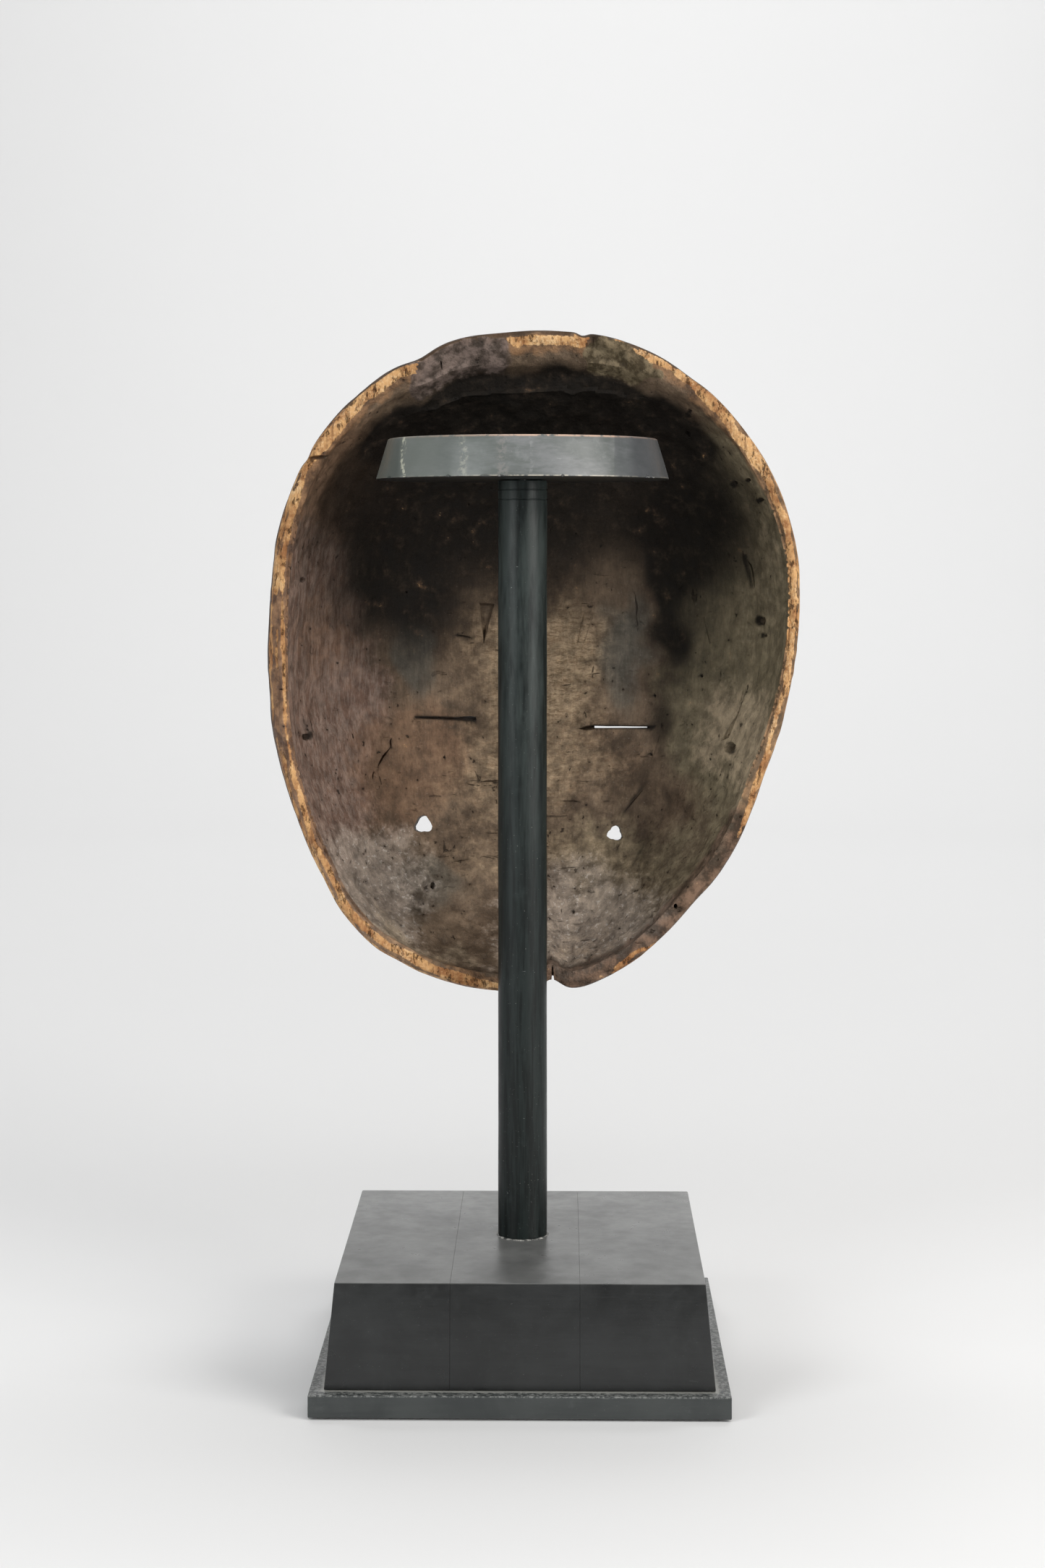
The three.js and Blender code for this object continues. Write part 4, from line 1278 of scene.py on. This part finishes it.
def felt_cloth():
    material, t, shader = new_material("dark felt")
    place = t.place()
    fuzz = t.noise(place, 1800.0, 5, 0.75, 0.8)
    cloud = t.noise(place, 60.0, 3)
    base = t.mix(t.ramp(fuzz, 0.35, 0.7), (0.008, 0.011, 0.010), (0.035, 0.042, 0.038))
    t.feed(shader.inputs["Base Color"], t.mix(t.times(cloud, 0.3), base, (0.02, 0.024, 0.022)))
    t.feed(shader.inputs["Roughness"], t.ramp(fuzz, 0.3, 0.7, 0.88, 1.0))
    bump(t, shader, fuzz, 0.6, 0.0004)
    return material


def zinc_steel():
    material, t, shader = new_material("zinc plated steel")
    place = t.place()
    spangle = t.add("ShaderNodeTexVoronoi", {"Vector": place, "Scale": 900.0}).outputs["Color"]
    tone = t.add("ShaderNodeSeparateColor", {0: spangle}).outputs[0]
    t.feed(shader.inputs["Base Color"], t.mix(tone, (0.46, 0.47, 0.49), (0.66, 0.67, 0.69)))
    t.feed(shader.inputs["Roughness"], t.ramp(t.noise(place, 300.0), 0.3, 0.7, 0.28, 0.5))
    shader.inputs["Metallic"].default_value = 1.0
    bump(t, shader, tone, 0.15, 0.0001)
    return material


# ---------------------------------------------------------------- studio
BACKDROP_TONE = (0.80, 0.80, 0.80)


def build_backdrop():
    """A pale sweep: floor, a wide curve and a wall behind."""
    material, t, shader = new_material("pale backdrop")
    paper = t.noise(t.place(), 3.0, 3)
    t.feed(shader.inputs["Base Color"], t.mix(paper, tuple(0.985 * c for c in BACKDROP_TONE), BACKDROP_TONE))
    shader.inputs["Roughness"].default_value = 0.9
    half_width, front, back, curve, wall = 2600, -2600, 3600, 1500, 5000
    profile = [(front, 0)]
    for k in range(33):
        a = math.pi / 2 * k / 32
        profile.append((back - curve + curve * math.sin(a), curve - curve * math.cos(a)))
    profile.append((back, wall))
    points = [(x, y, z) for y, z in profile for x in (-half_width, half_width)]
    faces = [(2 * k, 2 * k + 1, 2 * k + 3, 2 * k + 2) for k in range(len(profile) - 1)]
    piece = new_object("studio_sweep", points, faces)
    piece.data.shade_smooth()
    piece.data.materials.append(material)


def area_light(name, place, target, size, energy, tint=(1, 1, 1)):
    lamp = bpy.data.lights.new(name, "AREA")
    lamp.shape = "RECTANGLE"
    lamp.size, lamp.size_y = size
    lamp.energy = energy
    lamp.color = tint
    made = bpy.data.objects.new(name, lamp)
    made.location = place
    made.rotation_euler = (Vector(target) - Vector(place)).to_track_quat("-Z", "Y").to_euler()
    bpy.context.scene.collection.objects.link(made)
    return made


def softbox(name, azimuth, elevation, distance, size, energy, tint=(1, 1, 1), target=(0, 0.03, 0.30)):
    """A soft light placed by its angle from the camera's side (right is plus) and its height angle."""
    az, el = math.radians(azimuth), math.radians(elevation)
    away = Vector((math.sin(az) * math.cos(el), -math.cos(az) * math.cos(el), math.sin(el)))
    area_light(name, Vector(target) + away * distance, target, size, energy, tint)


def build_studio():
    build_backdrop()
    softbox("soft_right", 52, 17, 1.6, (0.9, 1.2), 21, (1.0, 0.98, 0.95))
    softbox("soft_left", -45, 17, 1.7, (0.8, 1.2), 14, (0.97, 0.99, 1.0))
    softbox("soft_above", 8, 48, 2.0, (1.6, 0.8), 12)
    area_light("sweep_light", (0.2, 1.3, 3.2), (0.2, 3.3, 0.7), (3.2, 1.0), 88)
    world = bpy.data.worlds.new("soft studio")
    world.use_nodes = True
    world.node_tree.nodes["Background"].inputs[0].default_value = (1, 1, 1, 1)
    world.node_tree.nodes["Background"].inputs[1].default_value = 0.12
    bpy.context.scene.world = world
    bpy.context.scene.view_settings.view_transform = "Standard"


def build_camera():
    """A level camera 1.18 m from the post, a touch to the right of square on."""
    distance, height, turn = 1.1766, 0.3683, math.radians(0.83)
    data = bpy.data.cameras.new("camera")
    data.sensor_width = 36
    data.lens = 59.94
    data.shift_y = -0.1568
    camera = bpy.data.objects.new("camera", data)
    camera.location = (distance * math.sin(turn), -distance * math.cos(turn), height)
    look = Vector((-math.sin(turn), math.cos(turn), 0))
    camera.rotation_euler = look.to_track_quat("-Z", "Y").to_euler()
    bpy.context.scene.collection.objects.link(camera)
    bpy.context.scene.camera = camera


# ---------------------------------------------------------------- putting it together
build_camera()
build_studio()
groups = {"fibre": grain_group(), "scratch": scratch_group(), "band": band_group()}

disc_edges = [(DISC_HIGH[2], DISC_TOP_RADIUS, 0.9, 0.42, (0.50, 0.34, 0.25)),
              (DISC_LOW[2], DISC_FOOT_RADIUS, 0.8, 0.5, (0.50, 0.46, 0.38))]
disc_stain = black_stain("rubbed black stain", (0.088, 0.098, 0.092), (0.150, 0.156, 0.157), (0.28, 0.42),
                         (0.25, 0.25, 1), 0.8, disc_scuffs_and_painted_shading, 0.7, edges=disc_edges)
post_stain = black_stain("black stain on the post", (0.005, 0.007, 0.0067), (0.013, 0.018, 0.0172),
                         (0.34, 0.46), (1, 1, 0.06), 0.7, post_upper_painted_highlight, 0.3, 1.31)
board_stain = black_stain("black stain on the block", (0.006, 0.0066, 0.0066), (0.014, 0.0152, 0.0152),
                          (0.27, 0.38), (0.08, 1, 1), 0.25, block_top_dust_and_sheen, 0.85, 1.54)
plinth_stain = black_stain("black stain on the plinth", (0.024, 0.028, 0.028), (0.040, 0.045, 0.044),
                           (0.32, 0.46), (0.08, 1, 1), 0.35, plinth_dust, 0.85, 1.55)

build_mask(carved_wood())
build_disc(disc_stain)
build_post(post_stain)
build_glue_ring(old_glue())
build_boards(board_stain)
build_plinth(plinth_stain)
build_felt(felt_cloth())

steel = zinc_steel()
for name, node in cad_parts.items():
    if name.endswith(("screw", "bolt", "washer")) or "_screw_" in name:
        node.data.materials.clear()
        node.data.materials.append(steel)
